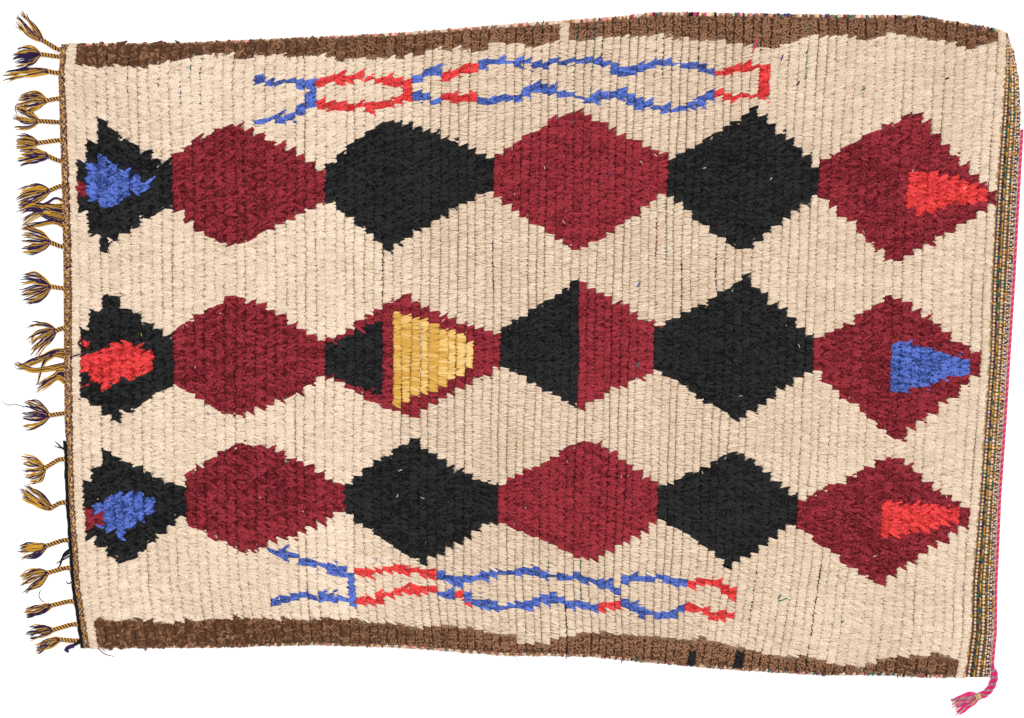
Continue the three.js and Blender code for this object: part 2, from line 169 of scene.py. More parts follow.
# How far inside the selvedges the rows of pile end, so that the wraps show beyond them
EDGE_MARGINS = table(
    "row top bottom",
    (0, 0, 0), (22, 0, 0.5), (34, 2, 1), (56, 4.5, 1.5), (72, 3.5, 1.5), (97, 2, 1.5),
)
EDGE_UNEVENNESS = 1.5
PILE_SETBACK = 4.5
START_UNEVENNESS = (-1, 2)
STOP_UNEVENNESS = (-2.5, 3)

# Waves in which the rows stray along the rug: size and length in millimetres, and phase from row to row
WANDER_WAVES = table("size length per_row", (0.9, 62, 0.3), (0.54, 23, 1.7))
WHOLE_ROW_WANDER = 1.3
WHOLE_ROW_PHASE = 2.4
WHOLE_ROW_LENGTH = 140
STRAIGHT_ROWS = 2

# How the crest of a row rises from the selvedges, and swells and sinks
CREST_AT_EDGE = (0.6, 0.4)
CREST_FALLS_OVER = 16
CREST_SWELL = 0.03
SWELL_WAVES = table("length per_row", (31, 2.1), (74, 0.23))

# The pile's yarns: the painted shades of their roots and of the wool under their tips, the shades of their
# dark and light fibres, the painted sheen on the light ones, how uneven they are from knot to knot, how
# eagerly they lean out over the next colour, the size of their fluff in millimetres, and how thick they are
# for their width
PILE_YARNS = table(
    "name material root bed dark light gloss uneven eager fluff flat",
    ("cream", "Undyed cream wool", (0.56, 0.4, 0.27), 0.94, (0.7, 0.62, 0.55), 1.22, 0.0, 0.08, 0.0, 2, 0.35),
    ("burgundy", "Burgundy dyed wool", (0.35, 0.3, 0.3), 0.6, (0.42,) * 3, 1.72, 0.02, 0.14, 0.8, 3.4, 0.22),
    ("black", "Black wool", (0.3, 0.3, 0.3), 0.6, (0.1, 0.1, 0.1), 2.6, 0.01, 0.14, 0.9, 3.4, 0.22),
    ("brown", "Undyed brown wool", (0.3, 0.27, 0.25), 0.62, (0.6, 0.57, 0.54), 1.74, 0.04, 0.2, 0.3, 2, 0.6),
    ("red", "Red dyed wool", (0.5, 0.4, 0.4), 0.75, (0.5, 0.5, 0.5), 1.4, 0.035, 0.14, 0.9, 3.4, 0.22),
    ("blue", "Blue dyed wool", (0.4, 0.4, 0.45), 0.7, (0.36,) * 3, 1.75, 0.05, 0.14, 0.9, 3.4, 0.22),
    ("yellow", "Yellow dyed wool", (0.5, 0.4, 0.3), 0.8, (0.9, 0.78, 0.5), 1.12, 0.08, 0.3, 0.8, 2, 0.35),
)
YARNS = tuple(yarn.name for yarn in PILE_YARNS)

# Stations of one knot's yarn, from its root to its tip: clipped short over its own row, or long and shaggy.
# Reach is in row spacings, rise in pile heights and width in yarn widths.
Tuft = namedtuple("Tuft", "reach rise width")
CLIPPED_TUFT = Tuft((-0.52, -0.24, 0.24, 0.53), (0.9, 0.98, 1.0, 0.92), (0.6, 1.0, 1.0, 0.65))
SHAGGY_TUFT = Tuft((-0.5, -0.22, 0.28, 0.7), (0.84, 0.98, 1.05, 0.9), (0.6, 1.05, 1.05, 0.6))
SHAGGY_UNTIL_ROW = 10
CLIPPED_FROM_ROW = 34
PILE_SIDES = 3
KNOT_JITTER = (0.3, 0.7)
YARN_WIDTHS = (0.85, 1.2)
CREAM_BANDS = 3

# How the knots lie. Pairs are for clipped knots, and what shaggy ones add.
BACKWARD_UNTIL_ROW = 4
FORWARD_FROM_ROW = 11
BACKWARD_SHARE = 0.9
OUTWARD_LEAN = (0.2, 0.15)
OUTWARD_FULL_AT = 380
CLUMP_LEAN = (0.08, 0.06)
CLUMP_LENGTHS = (5.3, 11.7)
STRAY_LEAN = (0.16, 0.08)
PLACE_STRAY = (0.018, 0.05)
LENGTH_STRAY = (0.05, 0.06)
MOST_SIDEWAYS = 0.75
STRAIGHT_AT_EDGE = (2, 26)

# How far the last knots of a coloured run lean out over the next colour, from the run's end inwards
SPLAY = (0.9, 0.45, 0.18)
SPLAY_SPREAD = (0.3, 1.3)
SPLAY_NARROWS_TIP = 0.25
SPLAY_RISES = 0.05
CLIPPED_SPLAY = 0.6
SHAG_LESS_SPLAY = 0.35

# Cream wool is less shaggy, and creased between its knots in the middle of the rug, where its yarns are
# slimmer and their sides get more painted shade
CREAM_SHAG = 0.2
CREAM_STRAY = 1.25
CREAM_CLOSED = 0.4
CREASE_ROWS = (22, 36)
FEWER_CREASES_ROWS = (66, 84)
FEWER_CREASES = 0.8
CREASED_SLIMMER = 0.12
CLOSED_LEAST = 0.07
CLOSED_SPREAD = 0.25

# Felted wools: their knots lie more crosswise, and close up over the grooves and creases, so that their sides
# and grooves get less painted shade
FELTED_YARNS = ("burgundy", "black", "red", "blue")
FELTED_STRAY = 2.4
FELTED_FILL = 0.3
FELTED_CLOSED = 0.28
FELTED_SHORTER = 0.22

# Brown wool is curly, and shaggier near the tasselled end. Turns and spacing are for its shaggy and its curly
# rows, and the other pairs are a least value and what is added to it.
CURL_ROWS = (8, 30)
CURL_TURNS = (0.3, 1)
CURL_CLOSER = (0.75, 1)
CURL_SHARE = (0.35, 0.65)
CREST_STRAY = (0.03, 0.03)
CURL_SHORTER = 0.5
CURL_SLIMMER = 0.38
CURL_SINKS = 0.04
CURLS_PER_KNOT = 3
CURL_STEP = 0.265
CURL_STEP_AT_END = (0.35, 0.65)
ROUND_ENDS = 9
CURL_BOW = (-0.8, 1.2, -0.8)
CURL_STRAY = (0.8, 1.2, 0.4)
SHAGGY_CURL_TONES = 1.15
CALMER_CURL_TONES = 0.95

# The dense wool under the tips: places within a row, height in pile heights and how far its colour is kept
# from the painted shade of the grooves, with what a groove filled with wool adds to both
PILE_BED = table(
    "phase rise clean filled_rise filled_clean",
    (0.0, 0.45, 0.0, 0.37, 1.0), (0.055, 0.84, 0.85, 0.03, 0.1), (0.5, 0.88, 1.0, 0.0, 0.0),
    (0.945, 0.84, 0.85, 0.03, 0.1),
)
BED_MARGIN = 3
BED_STATIONS_ACROSS = 125
BED_RIM = 0.5

# How far wool fills the grooves, which lifts the bed and lessens its painted shade there: each has its own
# fill, which drifts and ripples along it
GROOVE_FILL = 0.62
OWN_FILL = (-0.4, 0.5)
OPEN_IN_MIDDLE = 0.29
OPEN_ROWS = (28, 45)
LESS_OPEN_ROWS = (66, 80)
LESS_OPEN = 0.6
FILL_DRIFTS = table("size length", (0.35, 130), (0.25, 41))
FILL_RIPPLE = 0.14
RIPPLE_LENGTHS = (3.7, 9.1)
EVEN_FILL = 0.55
FILLED_TIP_RISE = 0.1
FILLED_TIP_LONGER = 0.22
BROWN_FILLS = (0.6, 0.15)

# How the tones of the wools drift along the rug, by row: brown is darker near the tasselled end, the last
# rows of yellow are paler, and cream is lighter near the tasselled end and darker and tanner in the middle
TONE_DRIFTS = {
    "brown": ((0, 20, 45, 72, 98), (-0.7, -0.25, 0.5, 0.65, 0.0)),
    "yellow": ((34, 35, 36, 37, 40), (-0.3, 0.1, -0.4, 0.1, 0.4)),
    "cream": ((0, 18, 26, 36, 66, 84), (0.0, 0.1, 0.3, -0.2, -0.3, -0.2)),
}
# The burgundy was dyed in two batches, and the middle of the rug has the lighter one
BATCH_TONE = 0.15
BATCH_MIDDLE_ROW = 52
BATCH_ROWS = 80

# Weft picks of other colours that show in the grooves between rows
GROOVE_WEFTS = table(
    "groove low high dye",
    (4, 470, 530, "black"), (6, 455, 525, "black"), (9, 470, 520, "black"), (11, 440, 530, "navy"),
    (12, 470, 540, "teal"), (13, 430, 540, "navy"), (31, 80, 175, "black"), (33, -105, -72, "burgundy"),
    (35, -72, 48, "cream"), (36, -62, 40, "salmon"), (38, -62, 18, "salmon"), (40, -35, 5, "cream"),
    (43, 100, 240, "purple"), (48, 405, 590, "black"), (50, -470, -390, "teal"), (52, 430, 590, "teal"),
    (52, -580, -470, "black"), (54, 430, 590, "teal"), (54, -470, -395, "teal"),
    (55, 500, 570, "black"), (61, 520, 590, "black"), (61, 450, 500, "olive"), (62, 470, 560, "black"),
    (66, 500, 560, "black"), (63, 155, 265, "teal"), (62, 165, 225, "burgundy"), (65, 60, 150, "black"),
    (65, 85, 120, "teal"), (69, 105, 225, "burgundy"), (69, 95, 200, "navy"), (70, 100, 215, "teal"),
    (76, 520, 580, "black"), (78, 490, 590, "teal"), (75, -590, -400, "black"),
    (82, -590, -400, "black"),
)
WEFT_PITCH = 8.0
WEFT_SHOWS = 0.75
WEFT_LENGTHS = (6, 12)
WEFT_WIDTH = 1.9
WEFT_RISE = 0.98
WEFT_SLANT = 8
WEFT_SHIFT = 2
WEFT_STRAY = 0.5

# Columns of stitches across the flat-woven end, by their place across it, with the dyes that they mix
STITCHES = "share width pitch slant cover dyes"
STITCH_COLUMNS = table(
    STITCHES,
    (-0.07, 3.2, 4.2, 25, 1.25, "gold olive brown gold teal navy"),
    (0.02, 2.8, 4.4, -20, 1.2, "gold olive navy brown teal"),
    (0.15, 5.6, 6.4, 0, 0.8, "salmon salmon salmon cream"),
    (0.28, 3.2, 4.6, 20, 1.2, "purple teal olive brown navy"),
    (0.37, 3.2, 4.4, -15, 1.2, "gold gold yellow teal olive"),
    (0.52, 6.2, 6.6, 0, 0.82, "salmon salmon cream salmon"),
    (0.64, 2.4, 5.2, 12, 1.1, "teal olive brown teal gold"),
    (0.74, 4.0, 5.2, 10, 0.9, "salmon cream salmon gold"),
    (0.85, 4.0, 4.6, 10, 1.1, "cream salmon cream"),
    (0.85, 5.0, 7.6, 0, 0.5, "navy navy purple navy"),
    (0.95, 3.2, 4.4, 18, 0.95, "cream salmon gold cream brown"),
)
STRIPE_LIFT = 0.6
# Columns of twining across the end binding, from the pile outwards
TWINING_COLUMNS = table(
    STITCHES,
    (0.08, 2.9, 2.8, 40, 1.45, "umber pink umber brown salmon purple"),
    (0.25, 2.9, 2.8, -40, 1.45, "umber brown gold umber purple umber"),
    (0.42, 2.9, 2.8, 40, 1.45, "umber salmon purple umber salmon brown"),
    (0.59, 2.9, 2.8, -40, 1.45, "umber purple umber gold salmon umber"),
    (0.76, 2.9, 2.8, 40, 1.45, "umber brown umber purple umber gold"),
    (0.92, 2.9, 2.8, -40, 1.45, "umber salmon brown umber gold purple"),
)
STITCH_JITTER = 0.12
STITCH_WIDTHS = (0.9, 1.1)
STITCH_STRAY = 6
STRAY_DYES = 0.35

# How far the binding reaches over the pile's edge and out from it, along the tasselled end
BINDING_EDGES = table(
    "y inner outer",
    (-560, 2.5, 8.5), (-185, 2.5, 8.5), (-160, 4.0, 12.3), (200, 5.0, 12.3), (400, 3.0, 11.3),
    (560, 1.5, 9.5),
)
BINDING_WIDTH = 11
BINDING_HEIGHT = 10
CORE_STATIONS = 90
CORE_LEVEL = 0.42
CORE_HEIGHT = 0.8
CORE_NARROWER = 1.5
CORE_TONE = 0.3
CORE_SIDES = 8
TWINING_LEVEL = 0.56
TWINING_CROWN = 0.36
WHIP_COUNT = 110
WHIP_DYES = "burgundy umber purple pink brown burgundy"
WHIP_LENGTHS = (5, 9)
WHIP_WIDTH = 1.7
WHIP_LEVEL = 11.0
WHIP_INSET = 1.0
WHIP_SINK = 3
WHIP_SLANT = 90
WHIP_STRAY = 25

# Dyes of the wrapped selvedges: brown, then pale, and mixed towards the flat-woven end
PLAIN_WRAPS = "brown brown umber salmon brown umber brown pink"
PALE_WRAPS = "cream salmon cream pink salmon cream umber"
MIXED_WRAPS = (
    "cream brown salmon cream teal brown pink salmon navy "
    "brown magenta cream umber burgundy salmon teal black"
)
PALE_WRAPS_FROM = -380
MIXED_WRAPS_FROM = 150
WRAPS_MIX_OVER = 80
WRAP_INSET = 4.0
WRAP_WIDTHS = (1.0, 1.9)
WRAP_STATIONS = 6

# The half turns that wraps take over an edge, in millimetres and degrees
Wrap = namedtuple("Wrap", "reach height lead arc")
SELVEDGE_WRAP = Wrap(3.0, 5.6, 3.2, (-15, 165))
BLACK_WRAP = Wrap(2.6, 7.4, 3.0, (5, 175))

# Edge cords, in millimetres, as in the solids
GAP = 0.3
BLACK_CORD_WIDTH = 9
BLACK_CORD_VISIBLE = 7.5
BLACK_CORD_FROM = -556
BLACK_CORD_TO = -174
BLACK_CORE_WIDTH = 5.0
BLACK_CORE_HEIGHT = 6.5
BLACK_CORE_LEVEL = 3.9
BLACK_CORE_TONE = 0.2
BLACK_CORE_SIDES = 6
BLACK_CORD_WAVES = table("size length", (0.5, 9), (0.4, 4.1))
BLACK_WRAP_WIDTHS = (1.0, 1.35)
MAGENTA_CORD_WIDTH = 6
MAGENTA_CORD_FROM = -590
MAGENTA_CORD_TO = 394
MAGENTA_STEP = 2.0
MAGENTA_LIFT = 0.2
TAIL_ROUTE = ((850, -606), (844, -626), (833, -638), (820, -643))
TAIL_STEP = 1.3
TAIL_LIFT = 1
TAIL_APART = 7
TAIL_PARTS_OVER = 0.25
TAIL_YARN = 3.2
TAIL_CURVE = 0.03
TAIL_BRUSH_DYES = "magenta magenta grey magenta magenta salmon"
TAIL_KNOT_DYES = "ground salmon ground salmon"

# Twists of the magenta cord and its tail: radius, length of a turn, and the plies' dyes, widths and tones
Twist = namedtuple("Twist", "radius turn dyes widths tones sides")
MAGENTA_TWIST = Twist(1.5, 11, "magenta magenta pink", (3.2, 3.2, 3.2), (0.3, 0.6, 0.5), 5)
TAIL_TWIST = Twist(1.9, 13, "magenta magenta grey", (4.0, 4.0, 2.4), (0.4, 0.6, 0.5), 6)

# A cord leads out of the binding to a knot, and a brush of loose strands lies beyond it. Angles are degrees.
TASSELS = table(
    "y cord lead brush lie fan strands",
    (541, 39, 28, 66, 42, 16, 7), (528, 37, 7, 50, -3, 38, 8), (498, 20, 9, 82, -1, 8, 6),
    (451, 24, -9, 56, 3, 34, 8), (408, 40, 3, 48, 5, 34, 7), (375, 43, -7, 42, 10, 24, 6),
    (337, 26, 20, 58, 5, 20, 8), (291, 26, -20, 62, -6, 28, 8), (180, 27, 19, 54, 1, 42, 9),
    (104, 26, 8, 58, -4, 50, 9), (31, 17, -18, 56, -9, 38, 8), (-125, 30, -7, 50, 4, 50, 8),
    (-209, 34, -28, 42, -16, 60, 8), (-288, 25, -26, 66, 35, 18, 7), (-357, 38, -17, 52, -22, 24, 8),
    (-408, 38, -14, 56, -21, 32, 8), (-469, 38, -12, 52, -25, 11, 7), (-511, 42, -15, 48, -4, 20, 7),
    (-541, 32, 4, 50, -20, 14, 6),
)
TAIL_BRUSH = table("brush lie fan strands", (52, -19, 26, 8))[0]
# Bundles of yarn of the two tassels that have come undone: places out from the end's edge and their Y, the
# number of yarns, and how wide they are spread where they start, at their waist and at their tips
BUNDLE = "route yarns start waist tips"
UNDONE_TASSELS = (
    table(
        BUNDLE,
        (((0, 262), (17, 269), (31, 260), (48, 252), (62, 239)), 3, 4, 3, 5),
        (((0, 249), (24, 252), (46, 256), (69, 259), (89, 255)), 9, 18, 9, 13),
        (((0, 237), (28, 242), (48, 241), (70, 231), (85, 218)), 9, 10, 9, 12),
        (((0, 225), (22, 231), (40, 240), (58, 250), (91, 244)), 9, 10, 8, 14),
        (((0, 218), (17, 225), (40, 223), (60, 219), (84, 210)), 6, 9, 7, 8),
    ),
    table(
        BUNDLE,
        (((0, -16), (24, -15), (46, -24), (66, -31), (86, -39), (100, -33)), 11, 18, 9, 10),
        (((0, -38), (24, -42), (60, -46), (84, -39), (97, -36)), 10, 11, 8, 9),
        (((0, -62), (15, -55), (24, -61), (42, -71), (60, -82)), 14, 26, 12, 22),
        (((24, -19), (40, -30), (50, -54), (58, -74)), 3, 8, 5, 4),
    ),
)
BUNDLE_STATIONS = 14
BUNDLE_LENGTHS = (0.85, 1)
BUNDLE_WAIST_AT = 0.4
BUNDLE_INSET = 3.0
BUNDLE_WAVE = 1.6
BUNDLE_STEP = 2.0

TASSEL_DYES = "gold purple"
TURNED_PURPLE = 0.22
TURNED_GOLD = 0.05
PLIES = 4
PLY_SIDES = 6
PLY_RADIUS = 0.58
CORD_INSET = 8
CORD_OUT = 7
CORD_STEP = 1.4
YARNS_PER_STRAND = 3.3

# Knots that tie the cords' ends, by their radius and the thickness of their yarn
TASSEL_KNOT = (3.4, 2.8)
TAIL_KNOT = (4.4, 3.0)
KNOT_STATIONS = 22
KNOT_SIDES = 5
KNOT_TURNS = 1.6
KNOT_PITCH = 2.0
KNOT_TURN_APART = 0.8
KNOT_FLATNESS = 0.8
KNOT_LIFT = 0.45

# Brushes of loose yarns beyond the knots
BRUSH_STATIONS = 9
BRUSH_LENGTHS = (0.84, 1.04)
BRUSH_ROUNDING = 0.5
BRUSH_CURVE = 0.1
BRUSH_WAVE = 1.8
LOCKS = 5
LOCK_CURVE = 0.7
LOCK_GATHER = 0.35
KNOT_SPREAD = 8

# Loose yarns: they lie down from their roots, sway, cross one another and taper
LOOSE_ROOT_HEIGHT = 4.0
LOOSE_LIES_BY = 0.4
LOOSE_ON_FLOOR = 0.6
LOOSE_CROSSING = 2
LOOSE_WAVES = (0.7, 1.5)
LOOSE_WIDTHS = (0.8, 1.15)
LOOSE_TAPER = ((0, 0.15, 0.75, 1), (0.85, 1.0, 0.95, 0.3))

# Loose threads along the edges, by dye, width and route in millimetres
THREADS = table(
    "dye width route",
    ("black", 3.0, ((-846, -196), (-858, -187), (-870, -176))),
    ("black", 2.4, ((-846, -189), (-861, -188), (-873, -184))),
    ("black", 5.5, ((-841, -374), (-852, -382), (-857, -394))),
    ("black", 4.0, ((-843, -380), (-856, -390), (-860, -402), (-866, -409))),
    ("black", 3.0, ((-843, -386), (-855, -393), (-868, -400))),
    ("black", 2.4, ((-836, -432), (-846, -437), (-850, -431))),
    ("black", 8.0, ((-822, -541), (-830, -546), (-836, -550))),
    ("purple", 8.0, ((-834, -550), (-842, -552), (-849, -558), (-844, -562))),
    ("brown", 4.2, ((-838, -549), (-848, -553), (-853, -560))),
    ("burgundy", 2.0, ((-806, -545), (-790, -556), (-778, -566), (-760, -571))),
    ("burgundy", 1.6, ((-802, -547), (-786, -554), (-776, -563))),
    ("purple", 1.8, ((-896, -449), (-899, -460), (-893, -469), (-887, -471))),
    ("purple", 1.6, ((-925, -114), (-944, -108), (-956, -110), (-968, -102))),
    ("purple", 1.6, ((-940, 440), (-943, 431), (-938, 421))),
    ("ground", 2.6, ((818, -646), (806, -657), (797, -663), (790, -672), (787, -677))),
    ("salmon", 2.4, ((820, -644), (810, -655), (801, -660), (793, -664))),
    ("ground", 2.2, ((812, -652), (800, -658), (791, -670))),
    ("salmon", 1.4, ((-28, -568), (-24, -576), (-18, -585))),
    ("navy", 1.8, ((167, -572), (168, -578), (167, -584))),
)
THREAD_STEP = 2.0
THREAD_SIDES = 5
THREAD_LIFT = 3.5
THREAD_LIES_BY = 0.8
THREAD_TAPER = ((0, 0.7, 1), (1.0, 0.9, 0.4))

# Bits of other wool caught in the pile, by row and height, and the pale lint scattered between them
FLECKS = table(
    "row height length angle dye",
    (60, 110, 12, 30, "blue"), (60, -37, 14, 40, "teal"), (84, 467, 12, 60, "teal"),
    (78.4, -465, 20, 70, "teal"), (78, -459, 12, 35, "teal"), (85, -505, 7, 40, "teal"),
    (0.6, -19, 18, 72, "black"), (72.3, 548, 30, 18, "magenta"), (75.3, 525, 14, 20, "navy"),
    (77.2, 478, 10, 30, "black"), (92.3, 487, 9, 60, "black"),
)
FLECK_WIDTH = 2.6
LINT_COUNT = 90
LINT_ROWS = (2, ROW_COUNT - 2)
LINT_HEIGHTS = (-440, 440)
LINT_LENGTHS = (3, 9)
LINT_ANGLES = (0, 180)
LINT_WIDTH = 1.3
LINT_LIFT = 1.5
LINT_DYES = "cream blue teal pink gold navy black magenta"
LINT_CHANCES = (0.72, 0.05, 0.07, 0.08, 0.08, 0, 0, 0)

# Ground weave under the pile and the flat end
GROUND_STATIONS_ACROSS = 64
FLAT_STATIONS = (0.06, 0.5, 1.0)
FLAT_GROUND_SHADE = 0.5
KNOTS_ON_BACK = 0.75

# Stitches are small beads of yarn whose ends sink into the cloth
BEAD_REACH = np.array([-0.5, -0.22, 0.22, 0.5])
BEAD_WIDTH = np.array([0.45, 1.0, 1.0, 0.45])
BEAD_SINK = np.array([1.0, 0.15, 0.15, 1.0])
STITCH_SINK = 1.4
YARN_FLATNESS = 0.8
WRAP_ON_FLOOR = 0.42

# Wool: keratin fibre, matt, with the soft sheen of loose ends
WOOL = {
    "Roughness": 0.92,
    "IOR": 1.54,
    "Specular IOR Level": 0.12,
    "Sheen Weight": 0.1,
    "Sheen Roughness": 0.5,
}
# Sizes of its patterns in millimetres. Fibres are far finer, and are drawn 1 mm wide so that they show.
FIBRE_SIZE = (4, 1, 1)
FLUFF_SHARE = 0.75
BATCH_SIZE = 140
BATCH_SHARE = 0.12
BED_FLUFF = 2
FINE_PLY = 1.2
COARSE_PLY = 1.4
RIB_PITCH = 3
# How strongly each surface is raised, and how high in millimetres
PILE_RELIEF = (0.8, 2.4)
PLY_RELIEF = (0.5, 0.5)
RIB_RELIEF = (0.6, 0.6)

# Background paper, which glows as painted light so that shadows wash out on it
GLOWING_PAPER = {"Roughness": 0.95, "Specular IOR Level": 0.1, "Emission Strength": 0.4}
PULP_SIZE = 5
PULP_SHADE = (0.97,) * 3

# Lengths under which a direction counts as nothing and a yarn as upright, and the Z of normals that face down
TINY = 1e-9
UPRIGHT = 1e-3

# Stage
FLOOR_SIZE = 9000
FLOOR_LEVEL = -0.4
KEY_ANGLES = (35, 0, 140)
KEY_SOFTNESS = 28
SENSOR = 36
VIEW_CENTRE = (-33, -25.6)

SEEDS = {
    "chart": 11, "pile": 12, "fill": 21, "grooves": 13, "flat_end": 14, "selvedges": 15, "binding": 16,
    "black_cord": 17, "magenta_cord": 18, "tassels": 19, "lint": 20, "threads": 22,
}


def linear(hex_colour):
    """An sRGB hex colour as linear red, green and blue."""
    channels = [int(hex_colour[i : i + 2], 16) / 255 for i in (1, 3, 5)]
    return tuple(c / 12.92 if c <= 0.04045 else ((c + 0.055) / 1.055) ** 2.4 for c in channels)


def tint(name, description, hex_colour):
    """A colour property."""
    return bpy.props.FloatVectorProperty(
        name=name, description=description, subtype="COLOR", min=0, max=1, default=linear(hex_colour)
    )


def length(name, description, millimetres):
    """A length property with its default in millimetres."""
    return bpy.props.FloatProperty(
        name=name, description=description, unit="LENGTH", precision=4, min=MM / 10, default=millimetres * MM
    )


def brightness(name, description, default):
    """A property for how strong a light is."""
    return bpy.props.FloatProperty(name=name, description=description, min=0, default=default)


class RugColours(bpy.types.PropertyGroup):
    """Colours of the wools"""

    cream: tint("Cream", "Undyed wool of the field", "#EBD6BF")
    burgundy: tint("Burgundy", "Dyed wool of the dark red lozenges", "#7E1623")
    black: tint("Black", "Wool of the black lozenges", "#121213")
    brown: tint("Brown", "Undyed wool of the side borders", "#7A5236")
    red: tint("Red", "Dyed wool of the red centres and chain", "#E22E2E")
    blue: tint("Blue", "Dyed wool of the blue centres and chain", "#3B55A5")
    yellow: tint("Yellow", "Dyed wool of the yellow centre", "#E4BA66")
    ground: tint("Ground", "Weft of the ground weave between the rows", "#B4956A")
    salmon: tint("Salmon", "Pale wool of the flat-woven end and the selvedges", "#E8BC96")
    teal: tint("Teal", "Green wool of the flat-woven end", "#1F6F66")
    olive: tint("Olive", "Yellow green wool of the flat-woven end", "#6B6A2A")
    navy: tint("Navy", "Dark blue wool of the flat-woven end", "#3A3470")
    pink: tint("Pink", "Pink wool of the selvedges", "#E58A86")
    magenta: tint("Magenta", "Wool of the end cord", "#D8316F")
    grey: tint("Grey", "Thin strand of the end cord", "#8FA39B")
    gold: tint("Gold", "Light wool of the tassels and the binding", "#D09C2A")
    umber: tint("Umber", "Main wool of the binding", "#A67C56")
    purple: tint("Purple", "Dark wool of the tassels and the binding", "#2E1546")


class RugSizes(bpy.types.PropertyGroup):
    """Sizes of the yarns"""

    knot_pitch: length("Knot pitch", "Distance between neighbouring knots in a row", 4.3)
    pile_yarn: length("Pile yarn", "Width of a knot's yarn", 6.4)
    pile_height: length("Pile height", "Height of the crest of a row", 14.0)
    ground_thickness: length("Ground thickness", "Thickness of the weave under the pile", 4.0)
    flat_thickness: length("Flat thickness", "Thickness of the flat-woven end", 2.6)
    wrap_pitch: length("Wrap pitch", "Distance between the selvedge's wraps", 4.6)
    overcast_pitch: length("Overcast pitch", "Distance between the black cord's turns", 3.6)
    tassel_yarn: length("Tassel yarn", "Width of a loose tassel strand", 2.7)
    tassel_ply: length("Tassel ply", "Width of one of the four plies of a tassel cord", 4.2)
    tassel_twist: length("Tassel twist", "Length of one turn of a tassel cord", 11.0)


class RugStage(bpy.types.PropertyGroup):
    """Floor, light and camera"""

    floor: tint("Floor", "Colour of the floor", "#FAFAFA")
    key: brightness("Key", "Strength of the main light", 1.3)
    fill: brightness("Fill", "Strength of the light all round", 0.84)
    camera_height: length("Camera height", "Height of the camera above the rug", 4000)
    view_width: length("View width", "Width of floor that the picture shows", 1876)


def colours():
    return bpy.context.scene.rug_colours


def palette_of(names):
    """Linear colours of some dyes."""
    return np.array([getattr(colours(), name)[:] for name in names.split()])


def sizes_mm():
    """The sizes in millimetres, by name."""
    sizes = bpy.context.scene.rug_sizes
    return {name: getattr(sizes, name) / MM for name in RugSizes.__annotations__}


def smoothstep(low, high, value):
    share = np.clip((value - low) / (high - low), 0, 1)
    return share * share * (3 - 2 * share)


def add_share(pair, share):
    """The first of a pair of values, with a share of the second added to it."""
    return pair[0] + pair[1] * share


def read_table(rows, column, at):
    """One column of a table at some value of its first column, read between the rows."""
    return np.interp(at, [row[0] for row in rows], [getattr(row, column) for row in rows])


def row_place(rows):
    """Share of the pile's length at a count of rows: they are beaten closer in the middle."""
    share = rows / ROW_COUNT
    swing = np.sin(TURN * (share - ROW_CROWDING_START)) + math.sin(TURN * ROW_CROWDING_START)
    return share + ROW_CROWDING * swing / TURN


def row_bend(along, y):
    """Bend of the rows near one corner."""
    near = np.exp(-(((along - BEND_ALONG) / BEND_REACH) ** 2))
    return -BEND_SHIFT * near * (1 - smoothstep(BEND_ENDS_AT, BEND_STARTS_AT, y))


def place_x(along, flat, y):
    """X of a point: along is its share of the pile, flat its share of the flat weave."""
    start, pile_end, flat_end = (read_table(ENDS, column, y) for column in ("start", "pile_end", "flat_end"))
    return start + along * (pile_end - start) + flat * (flat_end - pile_end) + row_bend(along, y)


def edge_heights(along, flat):
    """Y of the lower and the upper selvedge at a place along the rug."""
    middle = place_x(along, flat, 0)
    return read_table(SELVEDGES, "bottom", middle), read_table(SELVEDGES, "top", middle)


def row_wander(count, y):
    """How far the rows stray along the rug, so that some are wider than others."""
    stray = sum(wave.size * np.sin(y / wave.length + wave.per_row * count) for wave in WANDER_WAVES)
    stray = stray + WHOLE_ROW_WANDER * np.sin(WHOLE_ROW_PHASE * count + np.sin(y / WHOLE_ROW_LENGTH))
    return stray * smoothstep(0, STRAIGHT_ROWS, np.minimum(count, ROW_COUNT - count))


def groove_x(count, y):
    """X at a count of rows, which stray: a whole count is in the groove between two rows."""
    return place_x(row_place(count), 0, y) + row_wander(count, y)


